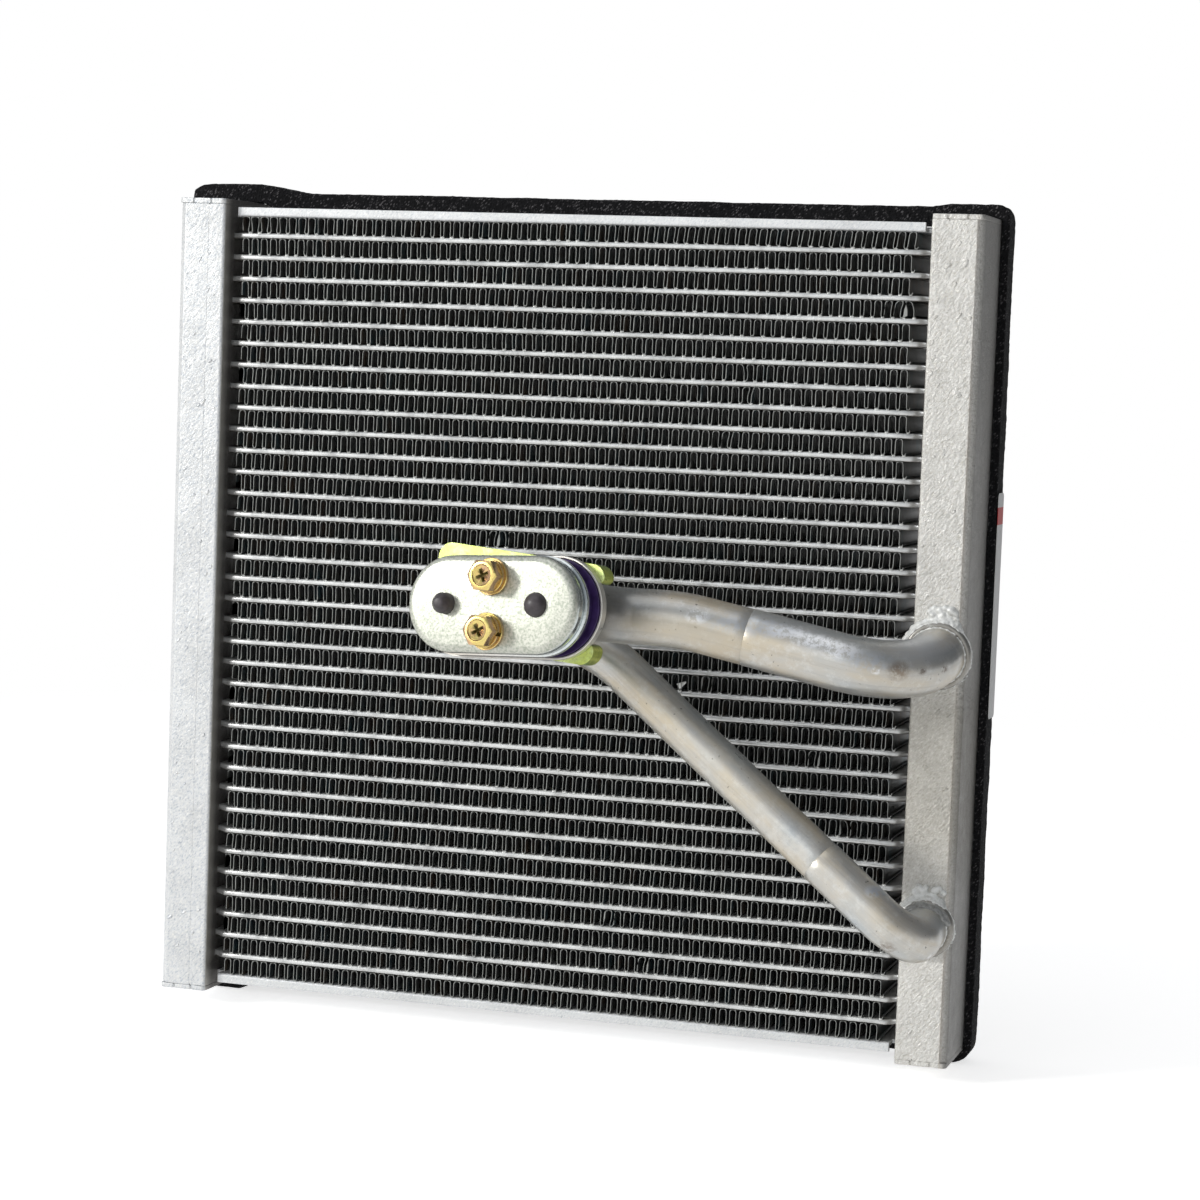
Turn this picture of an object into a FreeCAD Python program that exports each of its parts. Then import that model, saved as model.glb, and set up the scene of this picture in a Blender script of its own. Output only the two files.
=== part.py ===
"""Automotive evaporator core: a brazed tube-and-fin block with two header tanks, two refrigerant
pipes that run to a valve flange under a shipping cap, and a foam band round its rear edge.

Millimetres. X runs across the core, Y goes in from the front face, Z is up. The origin is the
middle of the foam band's lower face, where the air-box case grips the part.
"""
import FreeCAD, Part

import math
import os

from FreeCAD import Placement, Rotation, Vector

# Core: flat tubes and the fin rows between them
TUBE_COUNT = 35
TUBE_PITCH = 6.4
TUBE_THICK = 1.6
TUBE_NOSE = 0.45
TUBE_WALL = 0.3
TUBE_WEB = 1.6
TUBES_PER_BANK = 5
CORE_DEPTH = 30.0
CORE_HALF_WIDTH = 102.4
FIN_THICK = 0.3
FIN_FOLDS = 13
FINS_PER_BANK = 2

# Tube ends, which narrow before they enter the header slots
END_RUN = 3.9
NECK_INSET = 3.2
NECK_REACH = 1.2
BRAZE_GAP = 0.05

# Header tanks
HEADER_WIDTH = 14.9
HEADER_DEPTH = 38.0
HEADER_HEIGHT = 239.0
HEADER_WALL = 1.4
HEADER_BEVEL = 2.0
PLATE_WRAP = 5.0
PLATE_BEND = 1.0
SEAM_GAP = 0.15
LID_THICK = 1.5
LID_PLUG = 2.0
LID_CORNER = 1.5
LID_NOTCH = 0.5
NOTCH_SPACING = 5.6

# Side plates above and below the fins
SIDE_END_GAP = 2.3
SIDE_LIP = 2.8
SIDE_SHEET = 1.2
SIDE_BEND = 0.8
TONGUE_INSET = 5.0

# Foam band, set back from the front of the core
FOAM_SETBACK = 22.0
FOAM_WIDTH = 10.0
FOAM_THICK = 4.5
FOAM_SIDE = 2.8
FOAM_RAMP = 5.0
FOAM_CORNER = 6.5
FOAM_RISE = 10.0
FOAM_LEVEL = 6.0
FOAM_LEFT_THICK = 6.2
FOAM_LEFT_SLOPE = 16.0
FOAM_OVERHANG = 5.4
FOAM_END_RUN = 7.0
FOAM_END_DROP = 3.6
FOAM_END_STEPS = 6
FOAM_TOP_CORNER = 4.2
LABEL_THICK = 0.15
LABEL_WIDTH = 8.8
LABEL_LENGTH = 65.0
LABEL_HEIGHT = 133.5
LABEL_CORNER = 1.5

# Refrigerant pipes and the collars that they stand in
SUCTION_OD = 15.88
LIQUID_OD = 12.7
PIPE_WALL = 1.2
PORT_SPACING = 12 * TUBE_PITCH
LIQUID_PORT_HEIGHT = 44.2
COLLAR_THICK = 3.0
COLLAR_SEAT = 1.5
COLLAR_ROUND = 0.8
SUCTION_COLLAR_OD = 19.0
LIQUID_COLLAR_OD = 16.5
SUCTION_SPIGOT_OD = 11.0
LIQUID_SPIGOT_OD = 9.0
SPIGOT_WALL = 1.2
SPIGOT_REACH = 1.5
STUB_RUN = 3.5

# Valve flange: its cap face stands turned and tilted in front of the core
CAP_FACE_X = 3.26
CAP_FACE_OUT = 67.95
CAP_FACE_HEIGHT = 133.18
FACE_TURN = -11.5
FACE_TILT = -7.0
PORT_ROLL = -3.2
SCREW_ROLL = -0.7
CLAMP_ROLL = 4.0
PORT_HALF = 14.0
SCREW_HALF = 7.4

# Depths behind the cap face
CAP_DEPTH = 7.0
SEAL_FRONT = 10.0
FLANGE_FRONT = 10.5
FLANGE_FLOOR = 11.6
FLANGE_BACK = 13.0
CLAMP_THICK = 5.5
SUCTION_TURN_DEPTH = 36.0
LIQUID_TURN_DEPTH = 48.7

# Outlines at the flange: half the straight run, and the end radius
CAP_RUN = 13.2
CAP_RADIUS = 13.3
CAP_SHEET = 0.9
CAP_ROUND = 2.2
CAP_STEP = 0.4
CAP_STEP_FROM = 5.2
FLANGE_RUN = 14.6
FLANGE_RADIUS = 14.1
FLANGE_RIM = 0.7
SEAL_FIT = 0.1
CLAMP_WIDTH = 52.8
CLAMP_HEIGHT = 27.4
CLAMP_LIFT = 1.3
CLAMP_CORNER = 4.0
CLAMP_HOLE_FIT = 0.3
CLAMP_TIP_ROUND = 1.8

# Plugs that close the two ports through the cap
PLUG_FIT = 0.1
PLUG_SHOULDER = 1.2
PLUG_SHOULDER_THICK = 1.2
LEFT_PLUG_RADIUS = 2.85
LEFT_PLUG_PROUD = 4.4
LEFT_PLUG_TAPER = 1.2
RIGHT_PLUG_RADIUS = 3.3
RIGHT_PLUG_PROUD = 2.6

# Screws with their washers
SCREW_DIAMETER = 5.0
SCREW_HOLE_FIT = 0.25
HEAD_ACROSS = 8.0
HEAD_THICK = 3.5
HEAD_CHAMFER = 1.0
SPRING_WASHER_OD = 9.2
SPRING_WASHER_THICK = 1.3
FLAT_WASHER_OD = 10.2
FLAT_WASHER_THICK = 1.2

# Pipe corners: the place across, the distance out from the fins, and the rise above the port
SUCTION_CORNER_BACK = 1.3
SUCTION_CORNER_OUT = 33.2
SUCTION_CORNER_DROP = 4.8
SUCTION_NEAR_ACROSS = 82.0
SUCTION_NEAR_OUT = 33.5
SUCTION_NEAR_RISE = 1.5
SUCTION_FAR_ACROSS = 48.0
SUCTION_FAR_OUT = 35.0
SUCTION_FAR_RISE = 8.3
SUCTION_JOINT_SHARE = 0.45
LIQUID_CORNER_PAST = 1.8
LIQUID_CORNER_OUT = 31.0
LIQUID_CORNER_DROP = 1.6
LIQUID_FAR_ACROSS = 23.2
LIQUID_FAR_OUT = 18.0
LIQUID_FAR_RISE = 71.1
LIQUID_JOINT_SHARE = 0.30

# Bend radii, from the header to the flange
STUB_BEND = 20.0
SUCTION_CORNER_BEND = 22.0
SUCTION_NEAR_BEND = 90.0
SUCTION_FAR_BEND = 60.0
LIQUID_CORNER_BEND = 11.0
LIQUID_FAR_BEND = 40.0
FLANGE_BEND = 15.0

# What follows from the sizes above
FIN_FRONT = -FOAM_SETBACK - FOAM_WIDTH / 2
FIN_BACK = FIN_FRONT + CORE_DEPTH
CORE_MIDDLE = FIN_FRONT + CORE_DEPTH / 2
CORE_CENTRE = FOAM_THICK + HEADER_HEIGHT / 2
FIN_HEIGHT = TUBE_PITCH - TUBE_THICK
CORE_HALF_HEIGHT = (TUBE_COUNT * TUBE_PITCH + FIN_HEIGHT) / 2
HEADER_INNER = CORE_HALF_WIDTH + END_RUN
HEADER_OUTER = HEADER_INNER + HEADER_WIDTH
SIDE_HALF_LENGTH = HEADER_INNER - SIDE_END_GAP
HEADER_MIDDLE = HEADER_INNER + HEADER_WIDTH / 2
HEADER_FRONT = CORE_MIDDLE - HEADER_DEPTH / 2
HEADER_BACK = CORE_MIDDLE + HEADER_DEPTH / 2
HEADER_BOTTOM = CORE_CENTRE - HEADER_HEIGHT / 2
HEADER_TOP = CORE_CENTRE + HEADER_HEIGHT / 2
SUCTION_PORT_HEIGHT = LIQUID_PORT_HEIGHT + PORT_SPACING
CLAMP_BACK = FLANGE_BACK + CLAMP_THICK

ACROSS = Vector(1, 0, 0)
INWARD = Vector(0, 1, 0)
UP = Vector(0, 0, 1)


def save(name, *solids):
    """Write one node: a single solid, or a group of separate ones."""
    shape = solids[0] if len(solids) == 1 else Part.makeCompound(list(solids))
    shape.exportStep("parts/%s.step" % name)


def box(x0, x1, y0, y1, z0, z1):
    return Part.makeBox(x1 - x0, y1 - y0, z1 - z0, Vector(x0, y0, z0))


def plan_prism(outline, z0, z1):
    """Extrude an (x, y) outline from z0 up to z1."""
    points = [Vector(x, y, z0) for x, y in outline]
    return Part.Face(Part.makePolygon(points + points[:1])).extrude(UP * (z1 - z0))


def front_prism(outline, y0, y1):
    """Extrude an (x, z) outline from y0 in to y1."""
    points = [Vector(x, y0, z) for x, z in outline]
    return Part.Face(Part.makePolygon(points + points[:1])).extrude(INWARD * (y1 - y0))


def mirrored(shape):
    return shape.mirror(Vector(0, 0, 0), ACROSS)


def upended(shape):
    """The same shape at the other end of the core."""
    return shape.mirror(Vector(0, 0, CORE_CENTRE), UP)


def edges_along(shape, direction, spots, tolerance=0.01):
    """Straight edges in one direction whose middle lies at one of the (x, z) spots."""
    found = []
    for edge in shape.Edges:
        start, end = edge.Vertexes[0].Point, edge.Vertexes[-1].Point
        run = end - start
        if run.Length < tolerance or run.cross(direction).Length > tolerance:
            continue
        middle = (start + end) / 2
        if any(math.hypot(middle.x - x, middle.z - z) < tolerance for x, z in spots):
            found.append(edge)
    return found


# Core

def tube_height(index):
    return CORE_CENTRE + (index - (TUBE_COUNT - 1) / 2) * TUBE_PITCH


def fin_height(index):
    """Middle of a fin row: one lies under each tube, and one above the last."""
    return tube_height(index) - TUBE_PITCH / 2


def flat_tube(height):
    """One flat tube with two passages, blunt noses, and a neck drawn in at each header."""
    half = TUBE_THICK / 2
    y0, y1 = FIN_FRONT, FIN_BACK
    section = [(y0, half - TUBE_NOSE), (y0 + TUBE_NOSE, half), (y1 - TUBE_NOSE, half), (y1, half - TUBE_NOSE)]
    section += [(y, -z) for y, z in reversed(section)]
    reach = HEADER_INNER + HEADER_WALL + NECK_REACH
    points = [Vector(-reach, y, height + z) for y, z in section]
    bar = Part.Face(Part.makePolygon(points + points[:1])).extrude(ACROSS * (2 * reach))
    n0, n1 = y0 + NECK_INSET, y1 - NECK_INSET
    right = [(CORE_HALF_WIDTH, y0), (HEADER_INNER, n0), (reach, n0)]
    right += [(reach, n1), (HEADER_INNER, n1), (CORE_HALF_WIDTH, y1)]
    outline = right + [(-x, y) for x, y in reversed(right)]
    bar = bar.common(plan_prism(outline, height - half, height + half))
    low, high = height - half + TUBE_WALL, height + half - TUBE_WALL
    front_passage = box(-reach, reach, n0 + TUBE_WALL, CORE_MIDDLE - TUBE_WEB / 2, low, high)
    back_passage = box(-reach, reach, CORE_MIDDLE + TUBE_WEB / 2, n1 - TUBE_WALL, low, high)
    return bar.cut([front_passage, back_passage])


def fin_row(height):
    """One corrugated strip, its crests against the tubes above and below."""
    step = CORE_HALF_WIDTH / FIN_FOLDS
    crest = FIN_HEIGHT / 2
    upper, lower = [], []
    for index in range(2 * FIN_FOLDS + 1):
        x = -CORE_HALF_WIDTH + index * step
        top = crest if index % 2 else -crest + FIN_THICK
        upper.append((x, height + top))
        lower.append((x, height + top - FIN_THICK))
    return front_prism(upper + lower[::-1], FIN_FRONT, FIN_BACK)


def make_core():
    tubes = [flat_tube(tube_height(index)) for index in range(TUBE_COUNT)]
    fins = [fin_row(fin_height(index)) for index in range(TUBE_COUNT + 1)]
    for bank, first in enumerate(range(0, TUBE_COUNT, TUBES_PER_BANK), start=1):
        save("tubes_%d" % bank, *tubes[first:first + TUBES_PER_BANK])
    for bank, first in enumerate(range(0, TUBE_COUNT + 1, FINS_PER_BANK), start=1):
        save("fins_%02d" % bank, *fins[first:first + FINS_PER_BANK])


# Headers

def spigot_hole(radius, height):
    """Cutter through the front wall of the right header."""
    start = Vector(HEADER_MIDDLE, HEADER_FRONT - HEADER_WALL, height)
    return Part.makeCylinder(radius + BRAZE_GAP, 4 * HEADER_WALL, start, INWARD)


def header_plate():
    """The slotted plate that faces the core, wrapped round onto the front and back."""
    x0, x1 = HEADER_INNER, HEADER_INNER + HEADER_WALL
    lap = HEADER_INNER + PLATE_WRAP
    y0, y1 = HEADER_FRONT, HEADER_BACK
    w = HEADER_WALL
    outline = [(x0, y0), (lap, y0), (lap, y0 + w), (x1, y0 + w)]
    outline += [(x1, y1 - w), (lap, y1 - w), (lap, y1), (x0, y1)]
    plate = plan_prism(outline, HEADER_BOTTOM + LID_THICK, HEADER_TOP - LID_THICK)
    bends = [e for e in plate.Edges if abs(e.CenterOfMass.x - x0) < 0.01 and e.Length > HEADER_HEIGHT / 2]
    plate = plate.makeFillet(PLATE_BEND, bends)
    neck = CORE_DEPTH / 2 - NECK_INSET + BRAZE_GAP
    half = TUBE_THICK / 2 + BRAZE_GAP
    slots = []
    for index in range(TUBE_COUNT):
        z = tube_height(index)
        slots.append(box(x0 - w, x1 + w, CORE_MIDDLE - neck, CORE_MIDDLE + neck, z - half, z + half))
    return plate.cut(Part.makeCompound(slots))


def tank():
    """The outer channel; its lapped edges step in behind the header plate's wrap."""
    w = HEADER_WALL
    lap = HEADER_INNER + PLATE_WRAP + SEAM_GAP
    tip = HEADER_INNER + 2 * w
    out = HEADER_OUTER
    half = HEADER_DEPTH / 2
    b = HEADER_BEVEL
    step = w + BRAZE_GAP
    side = [(out, -half + b), (out - b, -half), (lap, -half), (lap, -half + step), (tip, -half + step)]
    side += [(tip, -half + step + w), (lap + w, -half + step + w), (lap + 2 * w, -half + w)]
    side += [(out - b - w / 2, -half + w), (out - w, -half + b + w / 2)]
    outline = [(x, CORE_MIDDLE + y) for x, y in side]
    outline += [(x, CORE_MIDDLE - y) for x, y in reversed(side)]
    return plan_prism(outline, HEADER_BOTTOM + LID_THICK, HEADER_TOP - LID_THICK)


def end_lid():
    """Upper end lid: a plate over the tank with a shallow plug inside it."""
    w = HEADER_WALL
    lid = box(HEADER_INNER, HEADER_OUTER, HEADER_FRONT, HEADER_BACK, HEADER_TOP - LID_THICK, HEADER_TOP)
    lid = lid.makeFillet(LID_CORNER, [e for e in lid.Edges if abs(e.Length - LID_THICK) < 0.01])
    inset = 2 * w + 2 * BRAZE_GAP
    plug = box(HEADER_INNER + w + BRAZE_GAP, HEADER_OUTER - w - BRAZE_GAP, HEADER_FRONT + inset,
               HEADER_BACK - inset, HEADER_TOP - LID_THICK - LID_PLUG, HEADER_TOP - LID_THICK)
    corners = [e for e in plug.Edges if abs(e.Length - LID_PLUG) < 0.01]
    lid = lid.fuse(plug.makeFillet(HEADER_BEVEL, corners)).removeSplitter()
    for side in (-1, 1):
        x = HEADER_MIDDLE + side * NOTCH_SPACING / 2
        lid = lid.cut(box(x - LID_NOTCH / 2, x + LID_NOTCH / 2, HEADER_FRONT - w, HEADER_FRONT + LID_NOTCH,
                          HEADER_TOP - LID_THICK - w, HEADER_TOP + w))
    return lid


def make_headers():
    holes = [spigot_hole(SUCTION_SPIGOT_OD / 2, SUCTION_PORT_HEIGHT)]
    holes.append(spigot_hole(LIQUID_SPIGOT_OD / 2, LIQUID_PORT_HEIGHT))
    plate, channel, lid = header_plate(), tank(), end_lid()
    save("header_plate_left", mirrored(plate))
    save("header_plate_right", plate.cut(holes))
    save("tank_left", mirrored(channel))
    save("tank_right", channel.cut(holes))
    save("end_lid_top_right", lid)
    save("end_lid_top_left", mirrored(lid))
    save("end_lid_bottom_right", upended(lid))
    save("end_lid_bottom_left", upended(mirrored(lid)))


# Side plates

def side_plate():
    """Upper side plate: a shallow channel with a tongue at each end that meets the header."""
    z0 = CORE_CENTRE + CORE_HALF_HEIGHT
    web, lip, s = z0 + SIDE_SHEET, z0 + SIDE_LIP, SIDE_SHEET
    section = [(FIN_FRONT, z0), (FIN_BACK, z0), (FIN_BACK, lip), (FIN_BACK - s, lip), (FIN_BACK - s, web)]
    section += [(FIN_FRONT + s, web), (FIN_FRONT + s, lip), (FIN_FRONT, lip)]
    points = [Vector(-SIDE_HALF_LENGTH, y, z) for y, z in section]
    channel = Part.Face(Part.makePolygon(points + points[:1])).extrude(ACROSS * (2 * SIDE_HALF_LENGTH))
    bends = []
    for edge in channel.Edges:
        middle = edge.CenterOfMass
        outer = min(abs(middle.y - FIN_FRONT), abs(middle.y - FIN_BACK)) < 0.01
        if outer and abs(middle.z - z0) < 0.01 and edge.Length > SIDE_HALF_LENGTH:
            bends.append(edge)
    channel = channel.makeFillet(SIDE_BEND, bends)
    tongue = box(-HEADER_INNER, HEADER_INNER, FIN_FRONT + TONGUE_INSET, FIN_BACK - TONGUE_INSET, z0, web)
    return channel.fuse(tongue).removeSplitter()


def make_side_plates():
    plate = side_plate()
    save("side_plate_top", plate)
    save("side_plate_bottom", upended(plate))


# Foam band

def foam_section(side_top):
    """Half outline of the bottom strip, from the middle out to the right and back."""
    lip = CORE_CENTRE - CORE_HALF_HEIGHT - SIDE_LIP
    dip = lip - FOAM_THICK
    outer = HEADER_OUTER + FOAM_SIDE
    ramp = HEADER_INNER - FOAM_RAMP
    inner = [(ramp, lip), (HEADER_INNER, HEADER_BOTTOM), (HEADER_OUTER, HEADER_BOTTOM)]
    inner += [(HEADER_OUTER, side_top), (outer, side_top)]
    foot = HEADER_BOTTOM - FOAM_THICK
    return inner + [(outer, foot), (HEADER_INNER, foot), (ramp, dip)]


def foam_bottom():
    """The lower strip turns up round both bottom corners of the headers."""
    right = foam_section(HEADER_BOTTOM + FOAM_RISE)
    outline = right + [(-x, z) for x, z in reversed(right)]
    strip = front_prism(outline, -FOAM_WIDTH / 2, FOAM_WIDTH / 2)
    outer = HEADER_OUTER + FOAM_SIDE
    corners = [(side * outer, HEADER_BOTTOM - FOAM_THICK) for side in (-1, 1)]
    return strip.makeFillet(FOAM_CORNER, edges_along(strip, INWARD, corners))


def foam_top():
    """The upper strip: it turns down the right header, and runs past the left one with a round end."""
    lip = CORE_CENTRE + CORE_HALF_HEIGHT + SIDE_LIP
    ramp = HEADER_INNER - FOAM_RAMP
    right = HEADER_OUTER + FOAM_SIDE
    left = -right - FOAM_OVERHANG
    crown, left_crown, level = HEADER_TOP + FOAM_THICK, HEADER_TOP + FOAM_LEFT_THICK, lip + FOAM_LEVEL
    foot = HEADER_TOP - FOAM_RISE
    outline = [(left, HEADER_TOP), (-HEADER_INNER, HEADER_TOP), (-ramp, lip), (ramp, lip)]
    outline += [(HEADER_INNER, HEADER_TOP), (HEADER_OUTER, HEADER_TOP), (HEADER_OUTER, foot), (right, foot)]
    outline += [(right, crown), (HEADER_INNER, crown), (ramp, level), (FOAM_LEFT_SLOPE - HEADER_INNER, level)]
    outline.append((-HEADER_INNER, left_crown))
    for step in range(FOAM_END_STEPS + 1):
        angle = math.pi / 2 * step / FOAM_END_STEPS
        along, down = 1 - math.sin(angle), 1 - math.cos(angle)
        outline.append((left + FOAM_END_RUN * along, left_crown - FOAM_END_DROP * down))
    strip = front_prism(outline, -FOAM_WIDTH / 2, FOAM_WIDTH / 2)
    return strip.makeFillet(FOAM_TOP_CORNER, edges_along(strip, INWARD, [(right, crown)]))


def foam_side(top):
    return box(HEADER_OUTER, HEADER_OUTER + FOAM_SIDE, -FOAM_WIDTH / 2, FOAM_WIDTH / 2,
               HEADER_BOTTOM + FOAM_RISE, top)


def label():
    """Paper label on the outer face of the right foam strip."""
    x0 = HEADER_OUTER + FOAM_SIDE
    z0 = LABEL_HEIGHT - LABEL_LENGTH / 2
    sheet = box(x0, x0 + LABEL_THICK, -LABEL_WIDTH / 2, LABEL_WIDTH / 2, z0, z0 + LABEL_LENGTH)
    return sheet.makeFillet(LABEL_CORNER, [e for e in sheet.Edges if abs(e.Length - LABEL_THICK) < 0.01])


def make_foam():
    save("foam_top", foam_top())
    save("foam_bottom", foam_bottom())
    save("foam_right", foam_side(HEADER_TOP - FOAM_RISE))
    save("foam_left", mirrored(foam_side(HEADER_TOP)))
    save("label", label())


# Valve flange group, in the frame of the cap face: x right, y depth behind the face, z up

def flange_frame():
    turn = Rotation(UP, FACE_TURN).multiply(Rotation(ACROSS, FACE_TILT))
    return Placement(Vector(CAP_FACE_X, FIN_FRONT - CAP_FACE_OUT, CAP_FACE_HEIGHT), turn)


def rolled(point, roll):
    return Rotation(INWARD, roll).multVec(point)


def place(shape, roll=0.0):
    """Move a shape from the cap face's frame, rolled in its plane, to the part's frame."""
    roll_in_plane = Placement(Vector(), Rotation(INWARD, roll))
    moved = shape.copy()
    moved.Placement = flange_frame().multiply(roll_in_plane).multiply(moved.Placement)
    return moved


def in_frame(point, frame_roll):
    """Express a point given in another roll in a frame turned by frame_roll."""
    return rolled(point, -frame_roll)


def port_centre(side, depth=0.0):
    """Port axis in the unrolled cap frame: side is -1 for the liquid port, 1 for suction."""
    return rolled(Vector(side * PORT_HALF, 0, 0), PORT_ROLL) + INWARD * depth


def screw_centre(side, depth=0.0):
    return rolled(Vector(0, 0, side * SCREW_HALF), SCREW_ROLL) + INWARD * depth


def drill(radius, centre, frame_roll, y0, y1):
    start = in_frame(centre, frame_roll)
    return Part.makeCylinder(radius, y1 - y0, Vector(start.x, y0, start.z), INWARD)


def stadium(run, radius, y0, y1):
    """A slab with round ends, y0 to y1 deep."""
    left, right = Vector(-run, y0, 0), Vector(run, y0, 0)
    r = UP * radius
    edges = [Part.LineSegment(left + r, right + r).toShape()]
    edges.append(Part.Arc(right + r, right + ACROSS * radius, right - r).toShape())
    edges.append(Part.LineSegment(right - r, left - r).toShape())
    edges.append(Part.Arc(left - r, left - ACROSS * radius, left + r).toShape())
    return Part.Face(Part.Wire(edges)).extrude(INWARD * (y1 - y0))


def edges_at_depth(shape, depth):
    """The edges that lie flat at one depth."""
    found = []
    for edge in shape.Edges:
        bounds = edge.BoundBox
        if max(abs(bounds.YMin - depth), abs(bounds.YMax - depth)) < 0.01:
            found.append(edge)
    return found


def screw_cutters(fit, frame_roll, y0, y1):
    radius = SCREW_DIAMETER / 2 + fit
    return [drill(radius, screw_centre(side), frame_roll, y0, y1) for side in (-1, 1)]


def plug_cutters(fit, frame_roll, y0, y1):
    radii = {-1: LEFT_PLUG_RADIUS, 1: RIGHT_PLUG_RADIUS}
    return [drill(radii[side] + fit, port_centre(side), frame_roll, y0, y1) for side in (-1, 1)]


def cap():
    """Drawn sheet cap: rounded front edge, a stepped-out skirt and holes for plugs and screws."""
    body = stadium(CAP_RUN, CAP_RADIUS, 0, CAP_DEPTH)
    body = body.makeFillet(CAP_ROUND, edges_at_depth(body, 0))
    skirt = stadium(CAP_RUN, CAP_RADIUS + CAP_STEP, CAP_STEP_FROM, CAP_DEPTH)
    skirt = skirt.makeChamfer(CAP_STEP, edges_at_depth(skirt, CAP_STEP_FROM))
    pocket = stadium(CAP_RUN, CAP_RADIUS - CAP_SHEET, CAP_SHEET, CAP_DEPTH)
    pocket = pocket.makeFillet(CAP_ROUND - CAP_SHEET, edges_at_depth(pocket, CAP_SHEET))
    shell = body.fuse(skirt).cut(pocket)
    return shell.cut(screw_cutters(SCREW_HOLE_FIT, PORT_ROLL, -1, CAP_DEPTH)
                     + plug_cutters(PLUG_FIT, PORT_ROLL, -1, CAP_DEPTH))


def seal():
    """Rubber seal: a raised middle inside the cap on a base that lies in the flange."""
    raised = stadium(CAP_RUN, CAP_RADIUS - CAP_SHEET - SEAL_FIT, CAP_SHEET, SEAL_FRONT)
    raised = raised.makeFillet(CAP_ROUND - CAP_SHEET + SEAL_FIT, edges_at_depth(raised, CAP_SHEET))
    base = stadium(FLANGE_RUN, FLANGE_RADIUS - FLANGE_RIM - SEAL_FIT, SEAL_FRONT, FLANGE_FLOOR)
    body = raised.fuse(base)
    body = body.cut(screw_cutters(SCREW_HOLE_FIT, PORT_ROLL, 0, FLANGE_BACK)
                    + plug_cutters(PLUG_FIT, PORT_ROLL, 0, FLANGE_BACK))
    shoulder = PLUG_SHOULDER + PLUG_FIT
    return body.cut(plug_cutters(shoulder, PORT_ROLL, 0, CAP_SHEET + PLUG_SHOULDER_THICK + PLUG_FIT))


def flange():
    """Aluminium flange: a shallow tray that holds the seal, with a hole for each pipe end."""
    body = stadium(FLANGE_RUN, FLANGE_RADIUS, FLANGE_FRONT, FLANGE_BACK)
    tray = stadium(FLANGE_RUN, FLANGE_RADIUS - FLANGE_RIM, FLANGE_FRONT, FLANGE_FLOOR)
    cutters = [tray] + screw_cutters(SCREW_HOLE_FIT, PORT_ROLL, 0, CLAMP_BACK)
    cutters.append(drill(LIQUID_OD / 2 + BRAZE_GAP, port_centre(-1), PORT_ROLL, 0, CLAMP_BACK))
    cutters.append(drill(SUCTION_OD / 2 + BRAZE_GAP, port_centre(1), PORT_ROLL, 0, CLAMP_BACK))
    return body.cut(cutters)


def clamp_plate():
    """Steel plate behind the flange: it takes the screws, and its right end forks round the suction pipe."""
    half = CLAMP_WIDTH / 2
    low, high = CLAMP_LIFT - CLAMP_HEIGHT / 2, CLAMP_LIFT + CLAMP_HEIGHT / 2
    plate = box(-half, half, FLANGE_BACK, CLAMP_BACK, low, high)
    plate = plate.makeFillet(CLAMP_CORNER, [e for e in plate.Edges if abs(e.Length - CLAMP_THICK) < 0.01])
    cutters = screw_cutters(0.0, CLAMP_ROLL, 0, 2 * CLAMP_BACK)
    cutters.append(drill(LIQUID_OD / 2 + CLAMP_HOLE_FIT, port_centre(-1), CLAMP_ROLL, 0, 2 * CLAMP_BACK))
    reach = SUCTION_OD / 2 + CLAMP_HOLE_FIT
    cutters.append(drill(reach, port_centre(1), CLAMP_ROLL, 0, 2 * CLAMP_BACK))
    port = in_frame(port_centre(1), CLAMP_ROLL)
    cutters.append(box(port.x, CLAMP_WIDTH, 0, 2 * CLAMP_BACK, port.z - reach, port.z + reach))
    fork = plate.cut(cutters)
    tips = edges_along(fork, INWARD, [(half, port.z - reach), (half, port.z + reach)])
    return fork.makeFillet(CLAMP_TIP_ROUND, tips)


def turned(profile):
    """Revolve an (r, y) profile about the depth axis."""
    points = [Vector(r, y, 0) for r, y in profile]
    return Part.Face(Part.makePolygon(points + points[:1])).revolve(Vector(), INWARD, 360)


def plug_body(radius, tip):
    """Stem behind a given tip profile, held by a shoulder under the cap sheet."""
    wide = radius + PLUG_SHOULDER
    under = CAP_SHEET + PLUG_SHOULDER_THICK
    return turned(tip + [(radius, CAP_SHEET), (wide, CAP_SHEET), (wide, under), (radius, under),
                         (radius, FLANGE_FLOOR), (0, FLANGE_FLOOR)])


def left_plug():
    """A nipple with a coned tip."""
    r, proud = LEFT_PLUG_RADIUS, -LEFT_PLUG_PROUD
    return plug_body(r, [(0, proud), (r - LEFT_PLUG_TAPER, proud), (r, proud + LEFT_PLUG_TAPER)])


def right_plug():
    """A low dome."""
    r, top = RIGHT_PLUG_RADIUS, RIGHT_PLUG_PROUD
    ball = (r * r + top * top) / (2 * top)
    dome = Part.makeSphere(ball, Vector(0, ball - top, 0))
    stem = plug_body(r, [(0, -top), (r, -top)])
    return stem.common(dome.fuse(box(-2 * r, 2 * r, 0, FLANGE_FLOOR, -2 * r, 2 * r)))


def washer(outer, thick, y0):
    ring = Part.makeCylinder(outer / 2, thick, Vector(0, y0, 0), INWARD)
    return ring.cut(Part.makeCylinder(SCREW_DIAMETER / 2 + BRAZE_GAP, thick, Vector(0, y0, 0), INWARD))


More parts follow.
